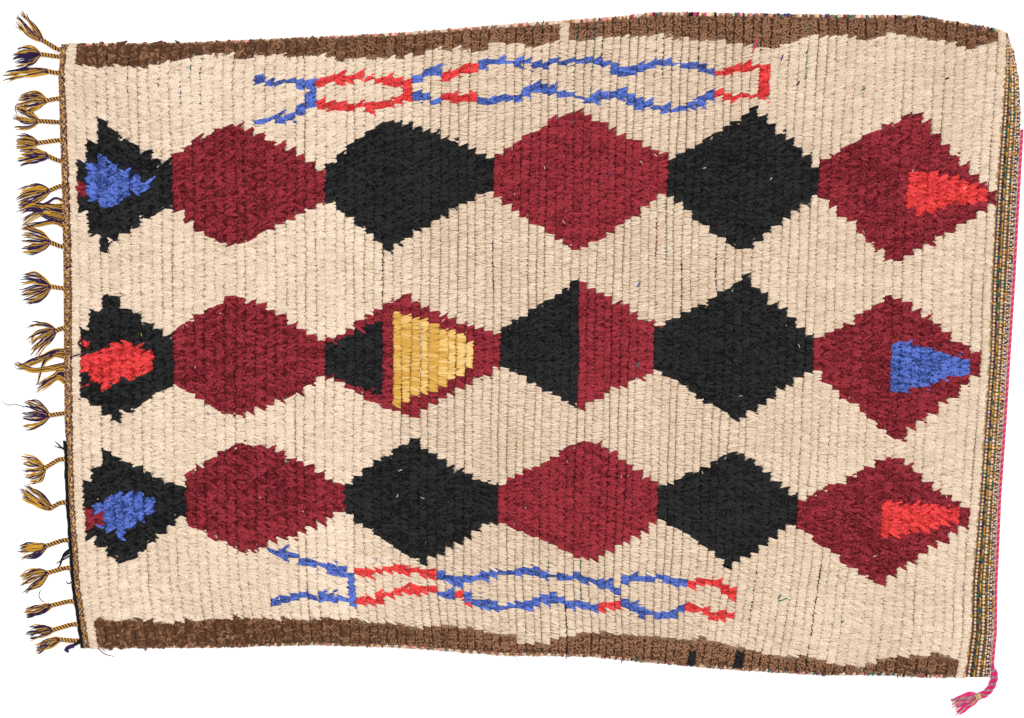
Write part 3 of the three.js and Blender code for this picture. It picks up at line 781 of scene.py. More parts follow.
class Yarns:
    """Lengths of yarn that are gathered into one joined mesh."""

    def __init__(self):
        self.count = 0
        self.points = []
        self.corners = []
        self.face_sizes = []
        self.tones = []
        self.reaches = []
        self.dyes = []

    def lay(self, paths, widths, tones, heights=None, sides=4, dyes=None):
        """Adds closed yarns. Paths are yarn by station by XYZ in millimetres, widths and heights are yarn by
        station, and tones and dyes have one row for each yarn."""
        yarns, stations, _ = paths.shape
        heights = widths if heights is None else heights
        tangent = np.gradient(paths, axis=1)
        tangent /= np.linalg.norm(tangent, axis=2, keepdims=True) + TINY
        aside = np.cross((0.0, 0.0, 1.0), tangent)
        upright = np.linalg.norm(aside, axis=2, keepdims=True) < UPRIGHT
        aside = np.where(upright, (0.0, 1.0, 0.0), aside)
        aside /= np.linalg.norm(aside, axis=2, keepdims=True)
        lift = np.cross(tangent, aside)
        # The first side's corner is on top, a quarter turn from the horizontal
        angles = TURN * (0.25 + np.arange(sides) / sides)
        across = np.cos(angles)[:, None] * (aside * widths[..., None] / 2)[:, :, None, :]
        up = np.sin(angles)[:, None] * (lift * heights[..., None] / 2)[:, :, None, :]
        self.points.append((paths[:, :, None, :] + across + up).reshape(-1, 3))

        shape = (yarns, stations, sides)
        index = self.count + np.arange(yarns * stations * sides).reshape(shape)
        following = np.roll(index, -1, axis=2)
        quads = np.stack([index[:, :-1], following[:, :-1], following[:, 1:], index[:, 1:]], axis=-1)
        self.corners += [quads.ravel(), index[:, 0, ::-1].ravel(), index[:, -1].ravel()]
        self.face_sizes += [np.full(quads.size // 4, 4), np.full(2 * yarns, sides)]
        self.count += index.size

        reach = np.linspace(0, 1, stations)[None, :, None]
        self.tones.append(np.broadcast_to(np.asarray(tones)[:, None, None], shape).ravel())
        self.reaches.append(np.broadcast_to(reach, shape).ravel())
        if dyes is not None:
            self.dyes.append(np.broadcast_to(dyes[:, None, None, :], (*shape, 3)).reshape(-1, 3))

    def to_mesh(self, name):
        mesh = mesh_from_arrays(
            name, np.concatenate(self.points), np.concatenate(self.corners), np.concatenate(self.face_sizes)
        )
        set_attribute(mesh, "tone", "FLOAT", "value", np.concatenate(self.tones))
        set_attribute(mesh, "reach", "FLOAT", "value", np.concatenate(self.reaches))
        if self.dyes:
            set_dyes(mesh, np.concatenate(self.dyes))
        return mesh


def mesh_from_arrays(name, points, corners, face_sizes):
    """A smooth mesh from points in millimetres, the corners of its faces in a row, and each face's count."""
    mesh = bpy.data.meshes.new(name)
    mesh.vertices.add(len(points))
    mesh.vertices.foreach_set("co", (points * MM).astype(np.float32).ravel())
    mesh.loops.add(len(corners))
    mesh.loops.foreach_set("vertex_index", corners.astype(np.int32))
    mesh.polygons.add(len(face_sizes))
    mesh.polygons.foreach_set("loop_start", (np.cumsum(face_sizes) - face_sizes).astype(np.int32))
    mesh.update(calc_edges=True)
    mesh.shade_smooth()
    return mesh


def grid_quads(shape):
    """Numbers of a grid's points, and the corners of its quads, facing up."""
    index = np.arange(shape[0] * shape[1]).reshape(shape)
    quads = [index[:-1, :-1], index[1:, :-1], index[1:, 1:], index[:-1, 1:]]
    return index, np.stack(quads, axis=-1).reshape(-1, 4)


def set_attribute(mesh, name, kind, field, values):
    attribute = mesh.attributes.new(name, kind, "POINT")
    attribute.data.foreach_set(field, values.astype(np.float32).ravel())


def set_dyes(mesh, dyes):
    opaque = np.concatenate([dyes, np.ones((len(dyes), 1))], axis=1)
    set_attribute(mesh, "dye", "FLOAT_COLOR", "color", opaque)


def sharpen_undersides(mesh, sides):
    """Keeps the shading of the yarns' tops apart from that of their undersides, which lie in the pile."""
    ends = np.empty(2 * len(mesh.edges), np.int32)
    mesh.edges.foreach_get("vertices", ends)
    under = (ends.reshape(-1, 2) % sides > 0).all(axis=1)
    mesh.attributes.new("sharp_edge", "BOOLEAN", "EDGE").data.foreach_set("value", under)


def add_piece(name, mesh, material, slot, *nodes):
    """Puts a mesh in the scene as a piece of the rug that stands for some of its solids."""
    piece = bpy.data.objects.new(name, mesh)
    bpy.context.scene.collection.objects.link(piece)
    mesh.materials.append(material)
    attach(piece, BODY)
    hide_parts(*nodes)


def add_node(material, kind, inputs, output, **settings):
    """Adds a shader node and gives one of its outputs. Inputs are values, or other nodes' outputs to link."""
    node = material.node_tree.nodes.new(kind)
    for name, value in settings.items():
        setattr(node, name, value)
    sockets = {socket.identifier: socket for socket in node.inputs}
    for name, value in inputs.items():
        if isinstance(value, bpy.types.NodeSocket):
            material.node_tree.links.new(value, sockets[name])
        else:
            sockets[name].default_value = value
    return next(socket for socket in node.outputs if socket.identifier == output)


def new_material(name, colour, surface):
    """A material with some values of its surface, its shader, and what adds nodes to it."""
    material = bpy.data.materials.new(name)
    material.use_nodes = True
    material.diffuse_color = (*colour, 1)
    shader = material.node_tree.nodes["Principled BSDF"]
    shader.inputs["Base Color"].default_value = (*colour, 1)
    for socket, value in surface.items():
        shader.inputs[socket].default_value = value
    return material, shader, partial(add_node, material)


def per_metre(millimetres):
    """Scale of a pattern whose features are this many millimetres apart."""
    return 1 / (millimetres * MM)


def shaded(colour, shade, gloss=0.0):
    """A colour made darker or lighter, channel by channel, with white painted sheen added to it."""
    return (*(min(1.0, c * s + gloss) for c, s in zip(colour, shade)), 1.0)


def wool_grain(add, fluff_mm):
    """How light the wool is, from place to place: fibres along the yarn, fluff, and batches of spinning."""
    place = add("ShaderNodeTexCoord", {}, "Object")
    stretch = tuple(per_metre(size) for size in FIBRE_SIZE)
    along = add("ShaderNodeMapping", {"Vector": place, "Scale": stretch}, "Vector")
    fibre = add("ShaderNodeTexNoise", {"Vector": along, "Scale": 1.0, "Detail": 3.0}, "Fac")
    fluff = add("ShaderNodeTexNoise", {"Vector": place, "Scale": per_metre(fluff_mm), "Detail": 2.0}, "Fac")
    batch = add("ShaderNodeTexNoise", {"Vector": place, "Scale": per_metre(BATCH_SIZE)}, "Fac")
    fluffy = {"Factor_Float": FLUFF_SHARE, "A_Float": fibre, "B_Float": fluff}
    spun = {"Factor_Float": BATCH_SHARE, "B_Float": batch}
    spun["A_Float"] = add("ShaderNodeMix", fluffy, "Result_Float")
    return add("ShaderNodeMix", spun, "Result_Float")


def dyed_base(add, pattern, limits):
    """Each yarn's own dye, made lighter and darker by a pattern within some limits."""
    dye = add("ShaderNodeAttribute", {}, "Color", attribute_name="dye")
    value = add("ShaderNodeMapRange", {"Value": pattern, **limits}, "Result")
    return add("ShaderNodeHueSaturation", {"Color": dye, "Value": value}, "Color")


def surfaced(material, shader, base, pattern, strength, relief_mm):
    """The material, given its colour, and its surface raised by a pattern."""
    raised = {"Height": pattern, "Strength": strength, "Distance": relief_mm * MM}
    normal = add_node(material, "ShaderNodeBump", raised, "Normal")
    material.node_tree.links.new(base, shader.inputs["Base Color"])
    material.node_tree.links.new(normal, shader.inputs["Normal"])
    return material


def pile_wool(yarn, colour):
    """Handspun wool, cut as pile. Each knot takes the dye a little differently, its fibres streak along the
    yarn, and its root and sides are painted darker, as painted shade in the grooves and creases."""
    material, shader, add = new_material(yarn.material, colour, WOOL)
    tone, reach, crest = (
        add("ShaderNodeAttribute", {}, "Fac", attribute_name=name) for name in ("tone", "reach", "crest")
    )
    grain = wool_grain(add, yarn.fluff)
    mixed = {"Factor_Float": yarn.uneven, "A_Float": grain, "B_Float": tone}
    shade = add("ShaderNodeMix", mixed, "Result_Float")
    share = add("ShaderNodeMapRange", {"Value": shade, "From Min": 0.38, "From Max": 0.6}, "Result")
    # Painted sheen: white is added to the light fibres
    light = shaded(colour, [yarn.light] * 3, yarn.gloss)
    fibres = {"Factor_Float": share, "A_Color": shaded(colour, yarn.dark), "B_Color": light}
    body = add("ShaderNodeMix", fibres, "Result_Color", data_type="RGBA")
    # Painted shade: each knot's root, and its sides where its creases are open, are mixed towards the dark
    # root colour
    above_root = add("ShaderNodeMapRange", {"Value": reach, "From Max": 0.08}, "Result")
    crease = {"Value": crest, "From Min": 0.15, "From Max": 0.5, "To Min": 0.35}
    open_wool = {"Value": above_root, "Value_001": add("ShaderNodeMapRange", crease, "Result")}
    unshaded_share = add("ShaderNodeMath", open_wool, "Value", operation="MULTIPLY")
    root_and_crease_shade = {"Factor_Float": unshaded_share, "A_Color": shaded(colour, yarn.root), "B_Color": body}
    base = add("ShaderNodeMix", root_and_crease_shade, "Result_Color", data_type="RGBA")
    return surfaced(material, shader, base, grain, *PILE_RELIEF)


def bed_wool(name, colour):
    """Dense wool under the cut tips: it has the dyes of the knots around it, painted darker as shade under
    the tips and into the grooves.
    """
    material, shader, add = new_material(name, colour, WOOL)
    grain = wool_grain(add, BED_FLUFF)
    base = dyed_base(add, grain, {"From Min": 0.4, "From Max": 0.6, "To Min": 0.72, "To Max": 1.1})
    return surfaced(material, shader, base, grain, *PILE_RELIEF)


def trim_wool(name, colour, ply_mm):
    """Plied wool of the sewn and woven edges. Each stitch keeps its own dye, a shade lighter or darker, and
    the plies show as small ridges."""
    material, shader, add = new_material(name, colour, WOOL)
    place = add("ShaderNodeTexCoord", {}, "Object")
    tone = add("ShaderNodeAttribute", {}, "Fac", attribute_name="tone")
    ply = add("ShaderNodeTexNoise", {"Vector": place, "Scale": per_metre(ply_mm), "Detail": 2.0}, "Fac")
    mixed = add("ShaderNodeMix", {"Factor_Float": 0.5, "A_Float": tone, "B_Float": ply}, "Result_Float")
    base = dyed_base(add, mixed, {"From Min": 0.2, "From Max": 0.8, "To Min": 0.7, "To Max": 1.25})
    return surfaced(material, shader, base, ply, *PLY_RELIEF)


def ground_weave(name, colour):
    """Wool ground, woven tight between the rows. Its wefts show as fine ribs, and the knots' own colours come
    through on the back."""
    material, shader, add = new_material(name, colour, WOOL)
    place = add("ShaderNodeTexCoord", {}, "Object")
    weave = {"Vector": place, "Scale": per_metre(RIB_PITCH) / TURN, "Distortion": 1.5, "Detail": 2.0}
    ribs = add("ShaderNodeTexWave", weave, "Fac", bands_direction="Y")
    base = dyed_base(add, ribs, {"To Min": 0.7, "To Max": 1.1})
    return surfaced(material, shader, base, ribs, *RIB_RELIEF)


def studio_paper(name, colour):
    """Matt white background paper that glows, as painted light, so that it takes no shadows, with a faint
    mottle.
    """
    material, shader, add = new_material(name, colour, GLOWING_PAPER)
    # Painted light: the paper glows in its own colour
    shader.inputs["Emission Color"].default_value = (*colour, 1)
    place = add("ShaderNodeTexCoord", {}, "Object")
    pulp = add("ShaderNodeTexNoise", {"Vector": place, "Scale": per_metre(PULP_SIZE), "Detail": 3.0}, "Fac")
    mottled = {"Factor_Float": pulp, "A_Color": shaded(colour, PULP_SHADE), "B_Color": (*colour, 1)}
    base = add("ShaderNodeMix", mottled, "Result_Color", data_type="RGBA")
    material.node_tree.links.new(base, shader.inputs["Base Color"])
    return material


def add_trim(name, yarns, finish, dye, ply_mm, slot, node="rug_cloth"):
    """Puts trim of plied wool in the scene as one piece."""
    add_piece(name, yarns.to_mesh(name), trim_wool(finish, getattr(colours(), dye), ply_mm), slot, node)


def is_wool(yarn, *names):
    """Which knots are of some of the pile's wools."""
    return np.isin(yarn, [YARNS.index(name) for name in names])


def lozenge_side(lozenge, centres, peak_row, peak, waists, bellies):
    """Height of one side of a lozenge at the middle of each row."""
    first, last = lozenge.first, lozenge.last + 1
    rising = (centres - first) / max(peak_row - first, SHORTEST_SIDE)
    falling = (last - centres) / max(last - peak_row, SHORTEST_SIDE)
    before = centres < peak_row
    share = np.clip(np.where(before, rising, falling), 0, 1)
    waist = np.where(before, *waists)
    return waist + (peak - waist) * (1 - (1 - share) ** np.where(before, *bellies))


def chart_yarns(rows, heights):
    """Which of the yarns each knot has, from its row and its height."""
    rng = np.random.default_rng(SEEDS["chart"])
    yarn = np.full(len(rows), YARNS.index("cream"))
    centres = rows + 0.5

    bordered = (rows >= BORDER_FIRST_ROW) & (rows <= BORDER_LAST_ROW)
    uneven = rng.uniform(-BORDER_UNEVENNESS, BORDER_UNEVENNESS, (2, ROW_COUNT))[:, rows]
    above = heights > read_table(TOP_BORDER, "height", rows) + uneven[0]
    below = heights < read_table(BOTTOM_BORDER, "height", rows) + uneven[1]
    yarn[bordered & (above | below)] = YARNS.index("brown")

    for lozenge in LOZENGES:
        tops, lows = zip(lozenge.start_waist, lozenge.end_waist)
        upper = lozenge_side(lozenge, centres, lozenge.top_row, lozenge.top, tops, lozenge.bellies[:2])
        lower = lozenge_side(lozenge, centres, lozenge.low_row, lozenge.low, lows, lozenge.bellies[2:])
        uneven = rng.uniform(-LOZENGE_EDGE_UNEVENNESS, LOZENGE_EDGE_UNEVENNESS, (2, ROW_COUNT))[:, rows]
        inside = (rows >= lozenge.first) & (rows <= lozenge.last)
        inside &= (heights < upper + uneven[0]) & (heights > lower + uneven[1])
        yarn[inside] = YARNS.index(lozenge.yarn)

    for line in CHAIN_LINES:
        span = line.last + 1 - line.first
        share = (rows[None, :] + np.array([[0.0], [1.0]]) - line.first) / span
        edge = line.start + (line.end - line.start) * share + line.bow * np.sin(math.pi * share)
        edge += rng.uniform(-CHAIN_WANDER, CHAIN_WANDER, ROW_COUNT)[rows]
        half = rng.uniform(*CHAIN_HALF_WIDTHS, ROW_COUNT)[rows]
        half = np.maximum(half + rng.uniform(-CHAIN_FRAY, CHAIN_FRAY, len(rows)), CHAIN_LEAST_HALF_WIDTH)
        on_line = (rows >= line.first) & (rows <= line.last)
        on_line &= (heights < edge.max(axis=0) + half) & (heights > edge.min(axis=0) - half)
        yarn[on_line] = YARNS.index(line.yarn)

    for patch in PATCHES:
        yarn[(rows == patch.row) & (heights > patch.low) & (heights < patch.high)] = YARNS.index(patch.yarn)
    return yarn


def pile_sides(count):
    """Y of the pile's lower and upper side at a count of rows."""
    bottom, top = edge_heights(row_place(count), 0)
    return bottom + read_table(EDGE_MARGINS, "bottom", count), top - read_table(EDGE_MARGINS, "top", count)


def pile_start(y):
    """X of the pile's edge beside the end binding, which lies a little over it."""
    return place_x(0, 0, y) + read_table(BINDING_EDGES, "inner", y)


def pile_stop(y):
    """X of the pile's edge beside the flat-woven end, which is woven up under it."""
    return place_x(1, 0, y) - PILE_SETBACK


def edge_distance(rows, heights):
    """Distance from the nearer selvedge."""
    bottom, top = edge_heights(row_place(rows + 0.5), 0)
    return np.minimum(heights - bottom, top - heights)


def pile_crest(rows, heights, pile_height):
    """Height of the crest of a row: it swells and sinks, and falls towards the selvedges."""
    settled = add_share(CREST_AT_EDGE, smoothstep(0, CREST_FALLS_OVER, edge_distance(rows, heights)))
    swell = CREST_SWELL
    for wave in SWELL_WAVES:
        swell = swell * np.sin(heights / wave.length + wave.per_row * rows)
    return pile_height * settled * (1 + swell)


def groove_fill(grooves, heights, yarn):
    """How far wool fills the groove before each row, from open to closed, changing along it."""
    rng = np.random.default_rng(SEEDS["fill"])
    own = rng.uniform(*OWN_FILL, ROW_COUNT + 1)[grooves]
    phases = rng.uniform(0, TURN, (2, ROW_COUNT + 1))[:, grooves]
    drift = sum(wave.size * np.sin(heights / wave.length + phase) for wave, phase in zip(FILL_DRIFTS, phases))
    ripple = FILL_RIPPLE
    for size, phase in zip(RIPPLE_LENGTHS, phases[::-1]):
        ripple = ripple * np.sin(heights / size + phase)
    drift = drift + ripple
    middle = smoothstep(*OPEN_ROWS, grooves) * (1 - LESS_OPEN * smoothstep(*LESS_OPEN_ROWS, grooves))
    felted = FELTED_FILL * is_wool(yarn, *FELTED_YARNS)
    return np.clip(GROOVE_FILL - OPEN_IN_MIDDLE * middle + felted + own + drift, 0, 1)


def creased_share(rows, yarn):
    """How open the creases between the knots of the cream are: most in the middle of the rug."""
    creased = smoothstep(*CREASE_ROWS, rows) * (1 - FEWER_CREASES * smoothstep(*FEWER_CREASES_ROWS, rows))
    return creased * is_wool(yarn, "cream")


def knot_places(pitch, rng):
    """Row number and height of every knot, and its distance from the nearer end of its row."""
    rows = []
    heights = []
    distances = []
    for row in range(ROW_COUNT):
        bottom, top = pile_sides(row + 0.5)
        bottom += rng.uniform(-EDGE_UNEVENNESS, EDGE_UNEVENNESS)
        top += rng.uniform(-EDGE_UNEVENNESS, EDGE_UNEVENNESS)
        count = int((top - bottom) / pitch)
        shares = (np.arange(count) + rng.uniform(*KNOT_JITTER, count)) / count
        heights.append(bottom + shares * (top - bottom))
        distances.append(np.minimum(shares, 1 - shares) * (top - bottom))
        rows.append(np.full(count, row))
    return np.concatenate(rows), np.concatenate(heights), np.concatenate(distances)


def splay_of(rows, yarn, rng):
    """How far each coloured knot leans out of its run: up at the run's upper end, down at its lower end."""
    new_row = np.concatenate([[True], rows[1:] != rows[:-1], [True]])
    starts = new_row[:-1] | np.concatenate([[True], yarn[1:] != yarn[:-1]])
    run = np.cumsum(starts) - 1
    first = np.flatnonzero(starts)[run]
    last = first + np.bincount(run)[run] - 1
    here = np.arange(len(rows))
    lean = np.array([*SPLAY, 0.0])
    upward = np.where(new_row[last + 1], 0, lean[np.minimum(last - here, len(SPLAY))])
    downward = np.where(new_row[first], 0, lean[np.minimum(here - first, len(SPLAY))])
    eager = np.array([kind.eager for kind in PILE_YARNS])[yarn]
    eager *= np.interp(rows, (SHAGGY_UNTIL_ROW, CLIPPED_FROM_ROW), (1, CLIPPED_SPLAY))
    return (upward - downward) * rng.uniform(*SPLAY_SPREAD, len(rows)) * eager


def lean_of(rows, heights, yarn, splay, shag, rng):
    """Direction in plan in which each knot's yarn lies: along the rug, outwards, and a little in clumps."""
    count = len(rows)
    turned = BACKWARD_SHARE * (1 - smoothstep(BACKWARD_UNTIL_ROW, FORWARD_FROM_ROW, rows))
    onward = np.where(rng.random(count) < turned, -1.0, 1.0)
    outward = np.clip(heights / OUTWARD_FULL_AT, -1, 1) * add_share(OUTWARD_LEAN, shag)
    phases = rng.uniform(0, TURN, (2, ROW_COUNT))[:, rows]
    clump = sum(np.sin(heights / size + phase) for size, phase in zip(CLUMP_LENGTHS, phases))
    stray = rng.normal(0, 1, count)
    felted = 1 + (FELTED_STRAY - 1) * is_wool(yarn, *FELTED_YARNS)
    more = np.where(is_wool(yarn, "cream"), CREAM_STRAY, felted)
    sideways = more * (clump * add_share(CLUMP_LEAN, shag) + stray * add_share(STRAY_LEAN, shag))
    sideways = np.clip(sideways + outward + splay, -MOST_SIDEWAYS, MOST_SIDEWAYS)
    # Brown curls lie in any direction
    angle = rng.uniform(0, TURN, count)
    brown = is_wool(yarn, "brown")
    onward = np.where(brown, np.cos(angle), onward)
    sideways = np.where(brown, np.sin(angle), sideways)
    sideways *= smoothstep(*STRAIGHT_AT_EDGE, edge_distance(rows, heights))
    return np.stack([onward, sideways], axis=1)


def tuft_paths(rows, heights, yarn, sizes, rng):
    """Paths and widths of the knots' yarns, from root to tip."""
    count = len(rows)
    brown = is_wool(yarn, "brown")
    shag = 1 - smoothstep(SHAGGY_UNTIL_ROW, CLIPPED_FROM_ROW, rows)
    shag *= np.where(is_wool(yarn, "cream"), CREAM_SHAG, 1.0)
    curl = add_share(CURL_SHARE, smoothstep(*CURL_ROWS, rows)) * brown
    splay = splay_of(rows, yarn, rng) * (1 - SHAG_LESS_SPLAY * shag)
    lean = lean_of(rows, heights, yarn, splay, shag, rng)
    before, after = groove_x(rows, heights), groove_x(rows + 1, heights)
    spacing = after - before
    x = (before + after) / 2 + spacing * rng.normal(0, add_share(PLACE_STRAY, shag), count)
    uneven = rng.normal(0, 1, count) * add_share(CREST_STRAY, curl)
    crest = pile_crest(rows, heights, sizes["pile_height"])
    crest = crest * (1 + uneven + SPLAY_RISES * abs(splay) - CURL_SINKS * curl)
    fill = groove_fill(np.where(lean[:, 0] > 0, rows + 1, rows), heights, yarn)
    grown = 1 + rng.normal(0, add_share(LENGTH_STRAY, shag), count) + FILLED_TIP_LONGER * (fill - EVEN_FILL)
    grown -= CURL_SHORTER * brown + FELTED_SHORTER * shag * is_wool(yarn, *FELTED_YARNS)

    reach, rise, width = (
        np.array(clipped) + shag[:, None] * (np.array(shaggy) - np.array(clipped))
        for clipped, shaggy in zip(CLIPPED_TUFT, SHAGGY_TUFT)
    )
    rise[:, -1] += FILLED_TIP_RISE * fill
    width[:, -1] *= 1 - SPLAY_NARROWS_TIP * np.minimum(abs(splay), 1)
    run = reach * (spacing * grown)[:, None]
    x = x[:, None] + run * lean[:, :1]
    y = heights[:, None] + run * lean[:, 1:]
    x = np.maximum(x, pile_start(y) + rng.uniform(*START_UNEVENNESS, count)[:, None])
    x = np.minimum(x, pile_stop(y) + rng.uniform(*STOP_UNEVENNESS, count)[:, None])
    slim = (1 - CURL_SLIMMER * curl) * (1 - CREASED_SLIMMER * creased_share(rows, yarn))
    widths = width * (sizes["pile_yarn"] * slim * rng.uniform(*YARN_WIDTHS, count))[:, None]
    return np.stack([x, y, rise * crest[:, None]], axis=2), widths


def more_curls(paths, widths, tones, steps, turns, rng):
    """Short curls of the brown wool in place of its knots' yarns, bowed and turned. Steps are how far apart
    they are spread over the row, and turns are how far round they may turn."""
    paths, widths, tones, steps, turns = (
        np.concatenate([each] * CURLS_PER_KNOT) for each in (paths, widths, tones, steps, turns)
    )
    count = len(paths)
    paths = np.stack([paths[:, 0], paths[:, 1:3].mean(axis=1), paths[:, 3]], axis=1)
    widths = widths[:, [0, 1, 3]]
    middles = paths.mean(axis=1, keepdims=True)
    x, y, z = np.moveaxis(paths - middles, 2, 0)
    y = y + np.array(CURL_BOW)
    angle = (turns * rng.uniform(-0.5, 0.5, count))[:, None]
    turned_x = np.cos(angle) * x - np.sin(angle) * y
    turned_y = np.sin(angle) * x + np.cos(angle) * y
    shift = rng.normal(0, 1, (count, 1, 3)) * CURL_STRAY
    place = np.arange(count) * CURLS_PER_KNOT // count - (CURLS_PER_KNOT - 1) / 2
    shift[:, 0, 0] += steps * place
    tones = tones + (SHAGGY_CURL_TONES - CALMER_CURL_TONES * turns / TURN) * rng.uniform(-1, 1, count)
    return middles + shift + np.stack([turned_x, turned_y, z], axis=2), widths, tones


class RUG_OT_weave_ground(bpy.types.Operator):
    """Weaves the ground under the pile and out to the flat end, as one thin closed sheet"""

    bl_idname = "rug.weave_ground"
    bl_label = "Weave Ground"

    def execute(self, context):
        sizes = sizes_mm()
        along = np.concatenate([row_place(np.arange(ROW_COUNT + 1)), np.ones(len(FLAT_STATIONS))])
        flat = np.concatenate([np.zeros(ROW_COUNT + 1), FLAT_STATIONS])
        bottom, top = edge_heights(along, flat)
        shares = np.linspace(0, 1, GROUND_STATIONS_ACROSS)
        y = bottom[:, None] + shares * (top - bottom)[:, None]
        x = place_x(along[:, None], flat[:, None], y)
        thickness = np.where(flat > 0, sizes["flat_thickness"], sizes["ground_thickness"])
        z = np.broadcast_to(thickness[:, None], x.shape)
        upper = np.stack([x, y, z], axis=2).reshape(-1, 3)
        points = np.concatenate([upper, upper * (1, 1, 0)])

        index, face_up = grid_quads(x.shape)
        face_down = face_up[:, ::-1] + x.size
        rim = np.concatenate([index[:-1, 0], index[-1, :-1], index[:0:-1, -1], index[0, :0:-1]])
        onward = np.roll(rim, -1)
        walls = np.stack([rim + x.size, onward + x.size, onward, rim], axis=-1)
        corners = np.concatenate([face_up, face_down, walls])
        mesh = mesh_from_arrays("ground_weave", points, corners.ravel(), np.full(len(corners), 4))

        rows = np.minimum(np.arange(len(along)), ROW_COUNT - 1)
        yarn = chart_yarns(np.repeat(rows, GROUND_STATIONS_ACROSS), y.ravel())
        ground = np.array(colours().ground[:])
        back = KNOTS_ON_BACK * palette_of(" ".join(YARNS))[yarn] + (1 - KNOTS_ON_BACK) * ground
        front = np.tile(ground, (len(along), GROUND_STATIONS_ACROSS, 1))
        front[flat > 0] = FLAT_GROUND_SHADE * np.array(colours().brown[:])
        set_dyes(mesh, np.concatenate([front.reshape(-1, 3), back]))
        material = ground_weave("Woven wool ground", ground)
        add_piece("ground_weave", mesh, material, "ground_weave", "rug_cloth")
        return {"FINISHED"}


class RUG_OT_fill_pile_bed(bpy.types.Operator):
    """Fills the rows with dense wool under the tips of the knots"""

    bl_idname = "rug.fill_pile_bed"
    bl_label = "Fill Pile Bed"

    def execute(self, context):
        sizes = sizes_mm()
        per_row = len(PILE_BED)
        station = np.arange(ROW_COUNT * per_row + 1)
        row = np.minimum(station // per_row, ROW_COUNT - 1)[:, None]
        phase, rise, unshaded_share, filled_rise, filled_unshaded = (
            np.array(column)[station % per_row][:, None] for column in zip(*PILE_BED)
        )
        count = station[:, None] // per_row + phase
        bottom, top = pile_sides(count)
        shares = np.linspace(0, 1, BED_STATIONS_ACROSS)
        y = bottom + BED_MARGIN + shares * (top - bottom - 2 * BED_MARGIN)
        x = np.clip(groove_x(count, y), pile_start(y), pile_stop(y))
        yarn = chart_yarns(np.broadcast_to(row, y.shape).ravel(), y.ravel())
        fill = groove_fill(np.round(count).astype(int), y, yarn.reshape(y.shape))
        brown_fill = np.interp(row, (SHAGGY_UNTIL_ROW, CLIPPED_FROM_ROW), BROWN_FILLS)
        fill = np.where(is_wool(yarn, "brown").reshape(y.shape), brown_fill, fill)
        z = (rise + fill * filled_rise) * pile_crest(row, y, sizes["pile_height"])
        dyes = palette_of(" ".join(YARNS))[yarn]
        # Painted shade: the bed is darker than the knots under their tips, and darker still down in the
        # grooves, less where wool fills them
        roots = dyes * np.array([kind.root for kind in PILE_YARNS])[yarn]
        dyes = dyes * np.array([kind.bed for kind in PILE_YARNS])[yarn][:, None]
        share = (unshaded_share + fill * filled_unshaded).reshape(-1, 1)
        dyes = (roots + share * (dyes - roots)).reshape(*y.shape, 3)

        # The outermost ring of points is let down into the ground
        points = np.stack([np.pad(x, 1, "edge"), np.pad(y, 1, "edge"), np.pad(z, 1)], axis=2)
        points[:, :, 2] = np.maximum(points[:, :, 2], BED_RIM * sizes["ground_thickness"])
        dyes = np.pad(dyes, ((1, 1), (1, 1), (0, 0)), "edge")
        _, quads = grid_quads(points.shape[:2])
        mesh = mesh_from_arrays("pile_bed", points.reshape(-1, 3), quads.ravel(), np.full(len(quads), 4))
        set_dyes(mesh, dyes.reshape(-1, 3))
        add_piece("pile_bed", mesh, bed_wool("Dense pile wool", colours().cream), "cream_pile", "rug_cloth")
        return {"FINISHED"}


